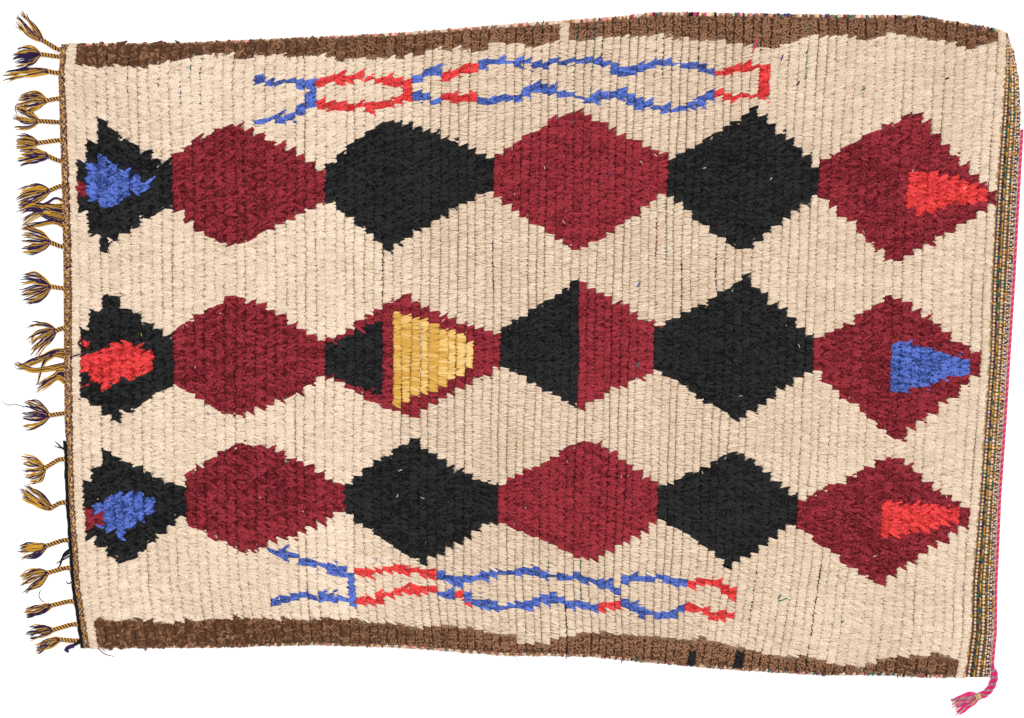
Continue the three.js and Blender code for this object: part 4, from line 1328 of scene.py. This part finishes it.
class RUG_OT_knot_pile(bpy.types.Operator):
    """Knots the pile, one piece for each wool and three for the cream field"""

    bl_idname = "rug.knot_pile"
    bl_label = "Knot Pile"

    def execute(self, context):
        rng = np.random.default_rng(SEEDS["pile"])
        sizes = sizes_mm()
        rows, heights, distances = knot_places(sizes["knot_pitch"], rng)
        yarn = chart_yarns(rows, heights)
        paths, widths = tuft_paths(rows, heights, yarn, sizes, rng)
        tones = rng.uniform(0, 1, len(rows))
        batch = BATCH_TONE * np.cos(TURN * (rows - BATCH_MIDDLE_ROW) / BATCH_ROWS)
        tones += batch * is_wool(yarn, "burgundy")
        for name, (at, drift) in TONE_DRIFTS.items():
            tones += np.interp(rows, at, drift) * is_wool(yarn, name)
        # The creases between the knots close up in the cream of both ends, and the knots' sides get less
        # painted shade there
        closed = CREAM_CLOSED * (1 - creased_share(rows, yarn)) * is_wool(yarn, "cream")
        least = CLOSED_LEAST + (FELTED_CLOSED - CLOSED_LEAST) * is_wool(yarn, *FELTED_YARNS)
        closed += least + rng.uniform(0, CLOSED_SPREAD, len(rows))
        spacing = place_x(row_place(rows + 1), 0, heights) - place_x(row_place(rows), 0, heights)
        steps = CURL_STEP * spacing * add_share(CURL_STEP_AT_END, smoothstep(0, ROUND_ENDS, distances))
        steps *= np.interp(rows, CURL_ROWS, CURL_CLOSER)
        band = rows * CREAM_BANDS // ROW_COUNT
        for kind in PILE_YARNS:
            chosen = is_wool(yarn, kind.name)
            parts = {f"pile_{kind.name}": chosen}
            if kind.name == "cream":
                parts = {f"pile_cream_{b + 1}": chosen & (band == b) for b in range(CREAM_BANDS)}
            material = pile_wool(kind, getattr(colours(), kind.name))
            for label, mask in parts.items():
                laid = paths[mask], widths[mask], tones[mask]
                if kind.name == "brown":
                    turns = TURN * np.interp(rows[mask], CURL_ROWS, CURL_TURNS)
                    laid = more_curls(*laid, steps[mask], turns, rng)
                pile = Yarns()
                pile.lay(*laid, heights=kind.flat * laid[1], sides=PILE_SIDES)
                mesh = pile.to_mesh(label)
                # The crest attribute carries painted shade: 1 on each knot's top corner, and how closed its
                # creases are on its lower corners, where the sides are painted darker
                crest = np.ones((*laid[1].shape, PILE_SIDES))
                crest[:, :, 1:] = np.resize(closed[mask], len(crest))[:, None, None]
                set_attribute(mesh, "crest", "FLOAT", "value", crest)
                sharpen_undersides(mesh, PILE_SIDES)
                add_piece(label, mesh, material, f"{kind.name}_pile", "rug_cloth")
        return {"FINISHED"}


def lay_stitches(yarns, centres, angles, lengths, widths, tones, dyes, sink=STITCH_SINK):
    """Adds short stitches: angles are in degrees from +Y towards +X, and the ends sink into the cloth."""
    turned = np.radians(angles)
    direction = np.stack([np.sin(turned), np.cos(turned), np.zeros(len(turned))], axis=1)
    paths = centres[:, None, :] + direction[:, None, :] * (lengths[:, None] * BEAD_REACH)[..., None]
    paths[:, :, 2] -= sink * BEAD_SINK
    wide = widths[:, None] * BEAD_WIDTH
    yarns.lay(paths, wide, tones, heights=YARN_FLATNESS * wide, dyes=dyes)


def lay_column(yarns, column, low, high, x_at, z, rng):
    """Adds one column of stitches along the rug's end, with its dyes in turn and now and then at random."""
    palette = palette_of(column.dyes)
    count = int((high - low) / column.pitch)
    places = np.arange(count) + 0.5 + rng.uniform(-STITCH_JITTER, STITCH_JITTER, count)
    y = low + places * (high - low) / count
    centres = np.stack([x_at(y), y, np.full(count, z)], axis=1)
    stray = rng.random(count) < STRAY_DYES
    picks = np.where(stray, rng.integers(0, len(palette), count), np.arange(count) % len(palette))
    lengths = np.full(count, column.pitch * column.cover)
    widths = column.width * rng.uniform(*STITCH_WIDTHS, count)
    angles = column.slant + rng.normal(0, STITCH_STRAY, count)
    lay_stitches(yarns, centres, angles, lengths, widths, rng.random(count), palette[picks])


class RUG_OT_show_groove_wefts(bpy.types.Operator):
    """Lays the coloured weft picks that show in some grooves of the pile"""

    bl_idname = "rug.show_groove_wefts"
    bl_label = "Show Groove Wefts"

    def execute(self, context):
        rng = np.random.default_rng(SEEDS["grooves"])
        pile_height = sizes_mm()["pile_height"]
        wefts = Yarns()
        for weft in GROOVE_WEFTS:
            y = np.arange(weft.low, weft.high, WEFT_PITCH)
            y = y[rng.random(len(y)) < WEFT_SHOWS] + rng.uniform(-WEFT_SHIFT, WEFT_SHIFT, 1)
            count = len(y)
            x = groove_x(weft.groove, y) + rng.normal(0, WEFT_STRAY, count)
            centres = np.stack([x, y, WEFT_RISE * pile_crest(weft.groove, y, pile_height)], axis=1)
            angles = rng.normal(0, WEFT_SLANT, count)
            lengths = rng.uniform(*WEFT_LENGTHS, count)
            dyes = np.repeat(palette_of(weft.dye), count, axis=0)
            lay_stitches(wefts, centres, angles, lengths, np.full(count, WEFT_WIDTH), rng.random(count), dyes)
        add_trim("groove_wefts", wefts, "Coloured weft wool", "navy", FINE_PLY, "edge_wrap")
        return {"FINISHED"}


class RUG_OT_weave_flat_end(bpy.types.Operator):
    """Weaves the striped flat end beyond the pile, column by column"""

    bl_idname = "rug.weave_flat_end"
    bl_label = "Weave Flat End"

    def execute(self, context):
        rng = np.random.default_rng(SEEDS["flat_end"])
        level = sizes_mm()["flat_thickness"] + STRIPE_LIFT
        stripes = Yarns()
        for column in STITCH_COLUMNS:
            low, high = edge_heights(1, column.share)
            lay_column(stripes, column, low, high, lambda y: place_x(1, column.share, y), level, rng)
        add_trim("flat_end_stripes", stripes, "Flat-woven striped wool", "salmon", COARSE_PLY, "flat_weave")
        return {"FINISHED"}


def lay_wraps(yarns, starts, across, wrap, widths, tones, dyes):
    """Adds half turns of yarn over an edge: starts are on the floor under the middle of each turn."""
    angles = np.radians(np.linspace(*wrap.arc, WRAP_STATIONS))
    paths = starts[:, None, :] + np.array(across) * (wrap.reach * np.cos(angles))[:, None]
    paths[:, :, 2] += np.maximum(wrap.height * np.sin(angles), WRAP_ON_FLOOR * widths[:, None])
    along = np.array([-across[1], across[0], 0.0])
    paths += along * (wrap.lead * np.linspace(-0.5, 0.5, WRAP_STATIONS))[:, None]
    wide = np.repeat(widths[:, None], WRAP_STATIONS, axis=1)
    yarns.lay(paths, wide, tones, heights=YARN_FLATNESS * wide, dyes=dyes)


class RUG_OT_wrap_selvedges(bpy.types.Operator):
    """Wraps both selvedges with plain and mixed wools"""

    bl_idname = "rug.wrap_selvedges"
    bl_label = "Wrap Selvedges"

    def execute(self, context):
        rng = np.random.default_rng(SEEDS["selvedges"])
        pitch = sizes_mm()["wrap_pitch"]
        count = int((place_x(1, 0, 0) - place_x(0, 0, 0)) / pitch)
        wraps = Yarns()
        for outwards, side in ((1, "top"), (-1, "bottom")):
            along = (np.arange(count) + rng.uniform(*KNOT_JITTER, count)) / count
            y = read_table(SELVEDGES, side, place_x(along, 0, 0))
            starts = np.stack([place_x(along, 0, y), y - WRAP_INSET * outwards, np.zeros(count)], axis=1)
            mixed_x = starts[:, 0] + rng.normal(0, WRAPS_MIX_OVER, count)
            stretch = np.digitize(mixed_x, (PALE_WRAPS_FROM, MIXED_WRAPS_FROM))
            dyes = np.zeros((count, 3))
            for number, names in enumerate((PLAIN_WRAPS, PALE_WRAPS, MIXED_WRAPS)):
                palette = palette_of(names)
                picked = palette[rng.integers(0, len(palette), count)]
                dyes = np.where((stretch == number)[:, None], picked, dyes)
            widths = pitch * rng.uniform(*WRAP_WIDTHS, count)
            lay_wraps(wraps, starts, (0, outwards, 0), SELVEDGE_WRAP, widths, rng.random(count), dyes)
        add_trim("selvedge_wraps", wraps, "Wrapped selvedge wool", "salmon", COARSE_PLY, "edge_wrap")
        return {"FINISHED"}


def lay_core(yarns, line, widths, height, tone, sides, dye):
    """Adds the one thick yarn that stitches or wraps lie over."""
    heights = np.full((1, len(line)), height)
    yarns.lay(line[None], widths[None], np.array([tone]), heights, sides, palette_of(dye))


def binding_x(share, y):
    """X at a share of the way across the binding, from the pile outwards."""
    inner, outer = read_table(BINDING_EDGES, "inner", y), read_table(BINDING_EDGES, "outer", y)
    return place_x(0, 0, y) + inner - share * (inner + outer)


class RUG_OT_twine_binding(bpy.types.Operator):
    """Twines the end binding in columns over a core, and whips it to the pile"""

    bl_idname = "rug.twine_binding"
    bl_label = "Twine Binding"

    def execute(self, context):
        rng = np.random.default_rng(SEEDS["binding"])
        low, high = edge_heights(0, 0)
        binding = Yarns()
        y = np.linspace(low, high, CORE_STATIONS)
        inner, outer = read_table(BINDING_EDGES, "inner", y), read_table(BINDING_EDGES, "outer", y)
        level = np.full(CORE_STATIONS, CORE_LEVEL * BINDING_HEIGHT)
        core = np.stack([place_x(0, 0, y) + (inner - outer) / 2, y, level], axis=1)
        height = CORE_HEIGHT * BINDING_HEIGHT
        lay_core(binding, core, inner + outer - CORE_NARROWER, height, CORE_TONE, CORE_SIDES, "umber")
        for column in TWINING_COLUMNS:
            level = BINDING_HEIGHT * (TWINING_LEVEL + TWINING_CROWN * math.sin(math.pi * column.share))
            lay_column(binding, column, low, high, lambda y: binding_x(column.share, y), level, rng)
        y = np.sort(rng.uniform(low, high, WHIP_COUNT))
        centres = np.stack([pile_start(y) + WHIP_INSET, y, np.full(WHIP_COUNT, WHIP_LEVEL)], axis=1)
        angles = WHIP_SLANT + rng.normal(0, WHIP_STRAY, WHIP_COUNT)
        lengths = rng.uniform(*WHIP_LENGTHS, WHIP_COUNT)
        widths = np.full(WHIP_COUNT, WHIP_WIDTH)
        tones = rng.random(WHIP_COUNT)
        palette = palette_of(WHIP_DYES)
        dyes = palette[rng.integers(0, len(palette), WHIP_COUNT)]
        lay_stitches(binding, centres, angles, lengths, widths, tones, dyes, sink=WHIP_SINK)
        finish = "Twined binding wool"
        add_trim("twined_binding", binding, finish, "brown", FINE_PLY, "twined_binding", "end_binding")
        return {"FINISHED"}


def outside_x(y):
    """Outside face of the tasselled end, past the binding and, where there is one, the black cord."""
    y = np.asarray(y, float)
    corded = (y > BLACK_CORD_FROM) & (y < BLACK_CORD_TO)
    return place_x(0, 0, y) - GAP - BINDING_WIDTH - np.where(corded, GAP + BLACK_CORD_WIDTH, 0)


class RUG_OT_overcast_black_cord(bpy.types.Operator):
    """Overcasts the black edge cord outside the lower part of the binding"""

    bl_idname = "rug.overcast_black_cord"
    bl_label = "Overcast Black Cord"

    def execute(self, context):
        rng = np.random.default_rng(SEEDS["black_cord"])
        pitch = sizes_mm()["overcast_pitch"]
        count = int((BLACK_CORD_TO - BLACK_CORD_FROM) / pitch)
        y = np.linspace(BLACK_CORD_FROM + pitch, BLACK_CORD_TO - pitch, count)
        x = binding_x(1.0, y) - BLACK_CORD_VISIBLE / 2
        for wave in BLACK_CORD_WAVES:
            x = x + wave.size * np.sin(y / wave.length)
        cord = Yarns()
        core = np.stack([x, y, np.full(count, BLACK_CORE_LEVEL)], axis=1)
        widths = np.full(count, BLACK_CORE_WIDTH)
        lay_core(cord, core, widths, BLACK_CORE_HEIGHT, BLACK_CORE_TONE, BLACK_CORE_SIDES, "black")
        starts = np.stack([x, y, np.zeros(count)], axis=1)
        widths = pitch * rng.uniform(*BLACK_WRAP_WIDTHS, count)
        dyes = np.repeat(palette_of("black"), count, axis=0)
        lay_wraps(cord, starts, (-1, 0, 0), BLACK_WRAP, widths, rng.random(count), dyes)
        finish = "Black overcast wool"
        add_trim("black_cord", cord, finish, "black", COARSE_PLY, "black_cord", "black_edge_cord")
        return {"FINISHED"}


def smooth_line(points, step):
    """A line through some points, about every step, on a Catmull-Rom curve."""
    points = np.asarray(points, float)
    ends = np.concatenate([2 * points[:1] - points[1:2], points, 2 * points[-1:] - points[-2:-1]])
    runs = []
    for before, start, stop, after in zip(ends, ends[1:], ends[2:], ends[3:]):
        count = max(2, int(np.linalg.norm(stop - start) / step))
        t = (np.arange(count) / count)[:, None]
        bow = 2 * start + (stop - before) * t + (2 * before - 5 * start + 4 * stop - after) * t**2
        runs.append((bow + (3 * start - before - 3 * stop + after) * t**3) / 2)
    return np.concatenate([*runs, points[-1:]])


def aside_of(tangent):
    """Unit directions in plan, across some tangents."""
    aside = np.cross((0.0, 0.0, 1.0), tangent)
    return aside / np.linalg.norm(aside, axis=1, keepdims=True)


def lay_twist(yarns, line, twist):
    """Adds a cord of plies that are twisted around a line."""
    count = len(twist.widths)
    steps = np.linalg.norm(np.diff(line, axis=0), axis=1)
    distance = np.concatenate([[0], np.cumsum(steps)])
    tangent = np.gradient(line, axis=0)
    tangent /= np.linalg.norm(tangent, axis=1, keepdims=True)
    aside = aside_of(tangent)
    lift = np.cross(tangent, aside)
    angle = TURN * (distance[None, :] / twist.turn + np.arange(count)[:, None] / count)
    plies = line + twist.radius * (np.cos(angle)[..., None] * aside + np.sin(angle)[..., None] * lift)
    widths = np.repeat(np.array(twist.widths)[:, None], len(line), axis=1)
    yarns.lay(plies, widths, twist.tones, sides=twist.sides, dyes=palette_of(twist.dyes))


def heading(degrees):
    """Unit directions in plan, from straight out of the tasselled end towards +Y."""
    angle = np.radians(degrees)
    return np.stack([-np.cos(angle), np.sin(angle), np.zeros_like(angle)], axis=-1)


def lay_loose(yarns, paths, width, dyes, rng, wave):
    """Adds loose wavy yarns along some paths in plan: they lie down from their roots, and cross."""
    count, stations, _ = paths.shape
    t = np.linspace(0, 1, stations)
    run = paths[:, -1] - paths[:, 0]
    aside = np.stack([-run[:, 1], run[:, 0]], axis=1) / np.linalg.norm(run, axis=1, keepdims=True)
    waves = rng.uniform(*LOOSE_WAVES, count)[:, None] * t
    sway = wave * np.sin(TURN * waves + rng.uniform(0, TURN, count)[:, None]) * np.sqrt(t)
    sway += rng.normal(0, wave, count)[:, None] * t**2
    plan = paths + aside[:, None, :] * sway[..., None]
    floor = width * LOOSE_ON_FLOOR + rng.uniform(0, LOOSE_CROSSING, count)[:, None] * np.sin(math.pi * t) ** 2
    level = floor + (LOOSE_ROOT_HEIGHT - floor) * (1 - smoothstep(0, LOOSE_LIES_BY, t))
    widths = width * np.interp(t, *LOOSE_TAPER) * rng.uniform(*LOOSE_WIDTHS, count)[:, None]
    yarns.lay(np.concatenate([plan, level[..., None]], axis=2), widths, rng.random(count), dyes=dyes)


def lay_brush(yarns, knot, shape, width, dyes, rng, curve=BRUSH_CURVE):
    """Adds a brush of loose yarns: they spread out soon after the knot, and then lie side by side."""
    count = len(dyes)
    out = heading(shape.lie)[:2]
    aside = np.array([-out[1], out[0]])
    share = np.linspace(-0.5, 0.5, count)
    lock = np.minimum(((share + 0.5) * LOCKS).astype(int), LOCKS - 1)
    gather = (lock + 0.5) / LOCKS - 0.5 - share
    bend = shape.brush * (rng.normal(0, curve) + rng.normal(0, LOCK_CURVE * curve, LOCKS))[lock]
    reach = shape.brush * rng.uniform(*BRUSH_LENGTHS, count) * (1 - BRUSH_ROUNDING * share**2)
    spread = 2 * shape.brush * math.tan(math.radians(shape.fan) / 2)
    t = np.linspace(0, 1, BRUSH_STATIONS)
    sideways = share[:, None] * (KNOT_SPREAD + spread * (1 - (1 - t) ** 3)) + bend[:, None] * t**2
    sideways += LOCK_GATHER * (KNOT_SPREAD + spread) * gather[:, None] * t
    paths = knot[:2] + out * (reach[:, None] * t)[..., None] + aside * sideways[..., None]
    lay_loose(yarns, paths, width, dyes, rng, BRUSH_WAVE)


def lay_knot(yarns, centre, out, radius, thickness, names, rng):
    """Adds the turns of yarn that tie a cord's end."""
    aside = np.array([-out[1], out[0], 0.0])
    t = np.linspace(0, 1, KNOT_STATIONS)
    angle = TURN * KNOT_TURNS * t
    dyes = palette_of(names)
    for turn, dye in enumerate(dyes):
        shift = (turn - (len(dyes) - 1) / 2) * thickness * KNOT_TURN_APART
        along = shift + (t - 0.5) * KNOT_PITCH
        ring = centre + aside * (radius * np.cos(angle))[:, None] + out * along[:, None]
        ring[:, 2] = radius * KNOT_FLATNESS * (1 + np.sin(angle)) + thickness * KNOT_LIFT
        widths = np.full((1, KNOT_STATIONS), thickness)
        yarns.lay(ring[None], widths, rng.random(1), sides=KNOT_SIDES, dyes=dye[None])


def two_dyes(count, rng):
    """Gold and purple in turn, now and then with two alike side by side."""
    purple = np.arange(count) % 2 == 1
    purple ^= rng.random(count) < np.where(purple, TURNED_GOLD, TURNED_PURPLE)
    return palette_of(TASSEL_DYES)[purple.astype(int)]


def tassel_yarns(tassel, sizes, rng):
    """One tassel: a cord of four plies, a knot and a brush."""
    yarns = Yarns()
    ply = sizes["tassel_ply"]
    radius = PLY_RADIUS * ply
    root = np.array([outside_x(tassel.y) - GAP, tassel.y, radius + 0.5 * ply])
    knot = root + heading(tassel.lead) * tassel.cord
    leaving = root + heading(0.5 * tassel.lead) * CORD_OUT
    line = smooth_line([root - heading(0) * CORD_INSET, root, leaving, knot], CORD_STEP)
    dyes = " ".join([TASSEL_DYES] * (PLIES // 2))
    tones = rng.random(PLIES)
    lay_twist(yarns, line, Twist(radius, sizes["tassel_twist"], dyes, (ply,) * PLIES, tones, PLY_SIDES))
    lay_knot(yarns, knot, heading(tassel.lie), *TASSEL_KNOT, TASSEL_DYES, rng)
    dyes = two_dyes(int(tassel.strands * YARNS_PER_STRAND), rng)
    lay_brush(yarns, knot, tassel, sizes["tassel_yarn"], dyes, rng)
    return yarns


def undone_yarns(bundles, sizes, rng):
    """A tassel that has come undone: bundles of its yarns leave the binding side by side, and cross."""
    yarns = Yarns()
    for bundle in bundles:
        face = outside_x(bundle.route[0][1]) + BUNDLE_INSET
        line = smooth_line([(face - out, y) for out, y in bundle.route], BUNDLE_STEP)
        steps = np.linspace(0, 1, len(line))
        t = np.linspace(0, 1, BUNDLE_STATIONS) * rng.uniform(*BUNDLE_LENGTHS, bundle.yarns)[:, None]
        spread = np.interp(t, (0, BUNDLE_WAIST_AT, 1), (bundle.start, bundle.waist, bundle.tips))
        y = np.interp(t, steps, line[:, 1]) + spread * np.linspace(-0.5, 0.5, bundle.yarns)[:, None]
        paths = np.stack([np.interp(t, steps, line[:, 0]), y], axis=2)
        lay_loose(yarns, paths, sizes["tassel_yarn"], two_dyes(bundle.yarns, rng), rng, BUNDLE_WAVE)
    return yarns


class RUG_OT_twist_magenta_cord(bpy.types.Operator):
    """Twists the magenta cord along the flat end, with its free tail, knot and brush"""

    bl_idname = "rug.twist_magenta_cord"
    bl_label = "Twist Magenta Cord"

    def execute(self, context):
        rng = np.random.default_rng(SEEDS["magenta_cord"])
        cord = Yarns()
        half = MAGENTA_CORD_WIDTH / 2
        y = np.arange(MAGENTA_CORD_TO, MAGENTA_CORD_FROM, -MAGENTA_STEP)
        line = np.stack([place_x(1, 1, y) + GAP + half, y, np.full(len(y), half + MAGENTA_LIFT)], axis=1)
        lay_twist(cord, line, MAGENTA_TWIST)

        route = [(px, py, half + TAIL_LIFT) for px, py in (line[-1][:2], *TAIL_ROUTE)]
        tail = smooth_line(route, TAIL_STEP)
        aside = aside_of(np.gradient(tail, axis=0))
        apart = TAIL_APART * smoothstep(0, TAIL_PARTS_OVER, np.linspace(0, 1, len(tail)))[:, None]
        for side in (-0.5, 0.5):
            lay_twist(cord, tail + side * apart * aside, TAIL_TWIST)

        knot = np.array(route[-1])
        lay_knot(cord, knot, heading(TAIL_BRUSH.lie), *TAIL_KNOT, TAIL_KNOT_DYES, rng)
        count = int(TAIL_BRUSH.strands * YARNS_PER_STRAND)
        palette = palette_of(TAIL_BRUSH_DYES)
        dyes = palette[np.arange(count) % len(palette)]
        lay_brush(cord, knot, TAIL_BRUSH, TAIL_YARN, dyes, rng, TAIL_CURVE)
        finish = "Twisted magenta wool"
        add_trim("magenta_cord", cord, finish, "magenta", FINE_PLY, "magenta_cord", "magenta_end_cord")
        return {"FINISHED"}


class RUG_OT_tie_tassels(bpy.types.Operator):
    """Plies, ties and brushes out the tassels, each its own piece"""

    bl_idname = "rug.tie_tassels"
    bl_label = "Tie Tassels"

    def execute(self, context):
        rng = np.random.default_rng(SEEDS["tassels"])
        sizes = sizes_mm()
        material = trim_wool("Plied tassel wool", colours().gold, FINE_PLY)
        for number, tassel in enumerate(TASSELS, 1):
            name = f"plied_tassel_{number:02d}"
            yarns = tassel_yarns(tassel, sizes, rng)
            add_piece(name, yarns.to_mesh(name), material, "tassel_wool", f"tassel_{number:02d}")
        for number, bundles in enumerate(UNDONE_TASSELS, 1):
            name = f"loose_tassel_{number}"
            yarns = undone_yarns(bundles, sizes, rng)
            add_piece(name, yarns.to_mesh(name), material, "tassel_wool", f"undone_tassel_{number}")
        return {"FINISHED"}


class RUG_OT_leave_threads(bpy.types.Operator):
    """Leaves loose threads and knotted ends along the edges"""

    bl_idname = "rug.leave_threads"
    bl_label = "Leave Threads"

    def execute(self, context):
        rng = np.random.default_rng(SEEDS["threads"])
        threads = Yarns()
        for thread in THREADS:
            line = smooth_line(thread.route, THREAD_STEP)
            t = np.linspace(0, 1, len(line))
            level = 0.5 * thread.width + THREAD_LIFT * (1 - smoothstep(0, THREAD_LIES_BY, t))
            widths = thread.width * np.interp(t, *THREAD_TAPER)
            path = np.concatenate([line, level[:, None]], axis=1)
            dyes = palette_of(thread.dye)
            threads.lay(path[None], widths[None], rng.random(1), sides=THREAD_SIDES, dyes=dyes)
        add_trim("loose_threads", threads, "Loose edge thread", "black", FINE_PLY, "edge_wrap")
        return {"FINISHED"}


class RUG_OT_scatter_lint(bpy.types.Operator):
    """Scatters pale lint and a few coloured wool bits on the pile"""

    bl_idname = "rug.scatter_lint"
    bl_label = "Scatter Lint"

    def execute(self, context):
        rng = np.random.default_rng(SEEDS["lint"])
        rows, heights, lengths, angles = (
            np.concatenate([flecks, rng.uniform(*limits, LINT_COUNT)])
            for flecks, limits in zip(zip(*FLECKS), (LINT_ROWS, LINT_HEIGHTS, LINT_LENGTHS, LINT_ANGLES))
        )
        names = LINT_DYES.split()
        picks = [names.index(fleck.dye) for fleck in FLECKS]
        picks += list(rng.choice(len(names), LINT_COUNT, p=LINT_CHANCES))
        widths = np.where(np.arange(len(rows)) < len(FLECKS), FLECK_WIDTH, LINT_WIDTH)
        level = np.full(len(rows), sizes_mm()["pile_height"] + LINT_LIFT)
        centres = np.stack([place_x(row_place(rows), 0, heights), heights, level], axis=1)
        lint = Yarns()
        dyes = palette_of(LINT_DYES)[picks]
        lay_stitches(lint, centres, angles, lengths, widths, rng.random(len(rows)), dyes)
        add_trim("wool_lint", lint, "Loose wool lint", "cream", FINE_PLY, "cream_pile")
        return {"FINISHED"}


class RUG_OT_set_stage(bpy.types.Operator):
    """Sets the floor, the lights and the camera straight above the rug"""

    bl_idname = "rug.set_stage"
    bl_label = "Set Stage"

    def execute(self, context):
        scene = context.scene
        stage = scene.rug_stage
        half = FLOOR_SIZE / 2
        corners = ((-half, -half), (half, -half), (half, half), (-half, half))
        points = np.array([(*corner, FLOOR_LEVEL) for corner in corners])
        mesh = mesh_from_arrays("studio_floor", points, np.arange(4), np.array([4]))
        floor = bpy.data.objects.new("studio_floor", mesh)
        scene.collection.objects.link(floor)
        mesh.materials.append(studio_paper("Matt white paper", stage.floor))

        world = bpy.data.worlds.new("studio")
        world.use_nodes = True
        world.node_tree.nodes["Background"].inputs["Color"].default_value = (1, 1, 1, 1)
        world.node_tree.nodes["Background"].inputs["Strength"].default_value = stage.fill
        scene.world = world
        key = bpy.data.lights.new("key", "SUN")
        key.energy = stage.key
        key.angle = math.radians(KEY_SOFTNESS)
        lamp = bpy.data.objects.new("key", key)
        lamp.rotation_euler = [math.radians(angle) for angle in KEY_ANGLES]
        scene.collection.objects.link(lamp)

        lens = bpy.data.cameras.new("camera")
        lens.sensor_fit = "HORIZONTAL"
        lens.sensor_width = SENSOR
        lens.lens = SENSOR * stage.camera_height / stage.view_width
        camera = bpy.data.objects.new("camera", lens)
        camera.location = (VIEW_CENTRE[0] * MM, VIEW_CENTRE[1] * MM, stage.camera_height)
        scene.collection.objects.link(camera)
        scene.camera = camera
        scene.view_settings.view_transform = "Standard"
        return {"FINISHED"}


class RUG_OT_declare_cloth(bpy.types.Operator):
    bl_idname = "rug.declare_cloth"
    bl_label = "Declare Cloth"

    def execute(self, context):
        return {"FINISHED"}


OPERATORS = (
    RUG_OT_set_stage,
    RUG_OT_weave_ground,
    RUG_OT_fill_pile_bed,
    RUG_OT_knot_pile,
    RUG_OT_show_groove_wefts,
    RUG_OT_weave_flat_end,
    RUG_OT_wrap_selvedges,
    RUG_OT_twine_binding,
    RUG_OT_overcast_black_cord,
    RUG_OT_twist_magenta_cord,
    RUG_OT_tie_tassels,
    RUG_OT_leave_threads,
    RUG_OT_scatter_lint,
    RUG_OT_declare_cloth,
)
GROUPS = {"rug_sizes": RugSizes, "rug_colours": RugColours, "rug_stage": RugStage}


class RUG_PT_sidebar(bpy.types.Panel):
    """Lists the rug's settings and the steps that make it"""

    bl_idname = "RUG_PT_sidebar"
    bl_label = "Azilal Rug"
    bl_space_type = "VIEW_3D"
    bl_region_type = "UI"
    bl_category = "Rug"

    def draw(self, context):
        for name, group in GROUPS.items():
            box = self.layout.box()
            for setting in group.__annotations__:
                box.prop(getattr(context.scene, name), setting)
        for operator in OPERATORS:
            self.layout.operator(operator.bl_idname)


CLASSES = (*GROUPS.values(), *OPERATORS, RUG_PT_sidebar)


def register():
    for cls in CLASSES:
        bpy.utils.register_class(cls)
    for name, group in GROUPS.items():
        setattr(bpy.types.Scene, name, bpy.props.PointerProperty(type=group))


def unregister():
    for name in GROUPS:
        delattr(bpy.types.Scene, name)
    for cls in reversed(CLASSES):
        bpy.utils.unregister_class(cls)


def main():
    register()
    for operator in OPERATORS:
        getattr(bpy.ops.rug, operator.bl_idname.removeprefix("rug."))()


if __name__ == "__main__":
    main()
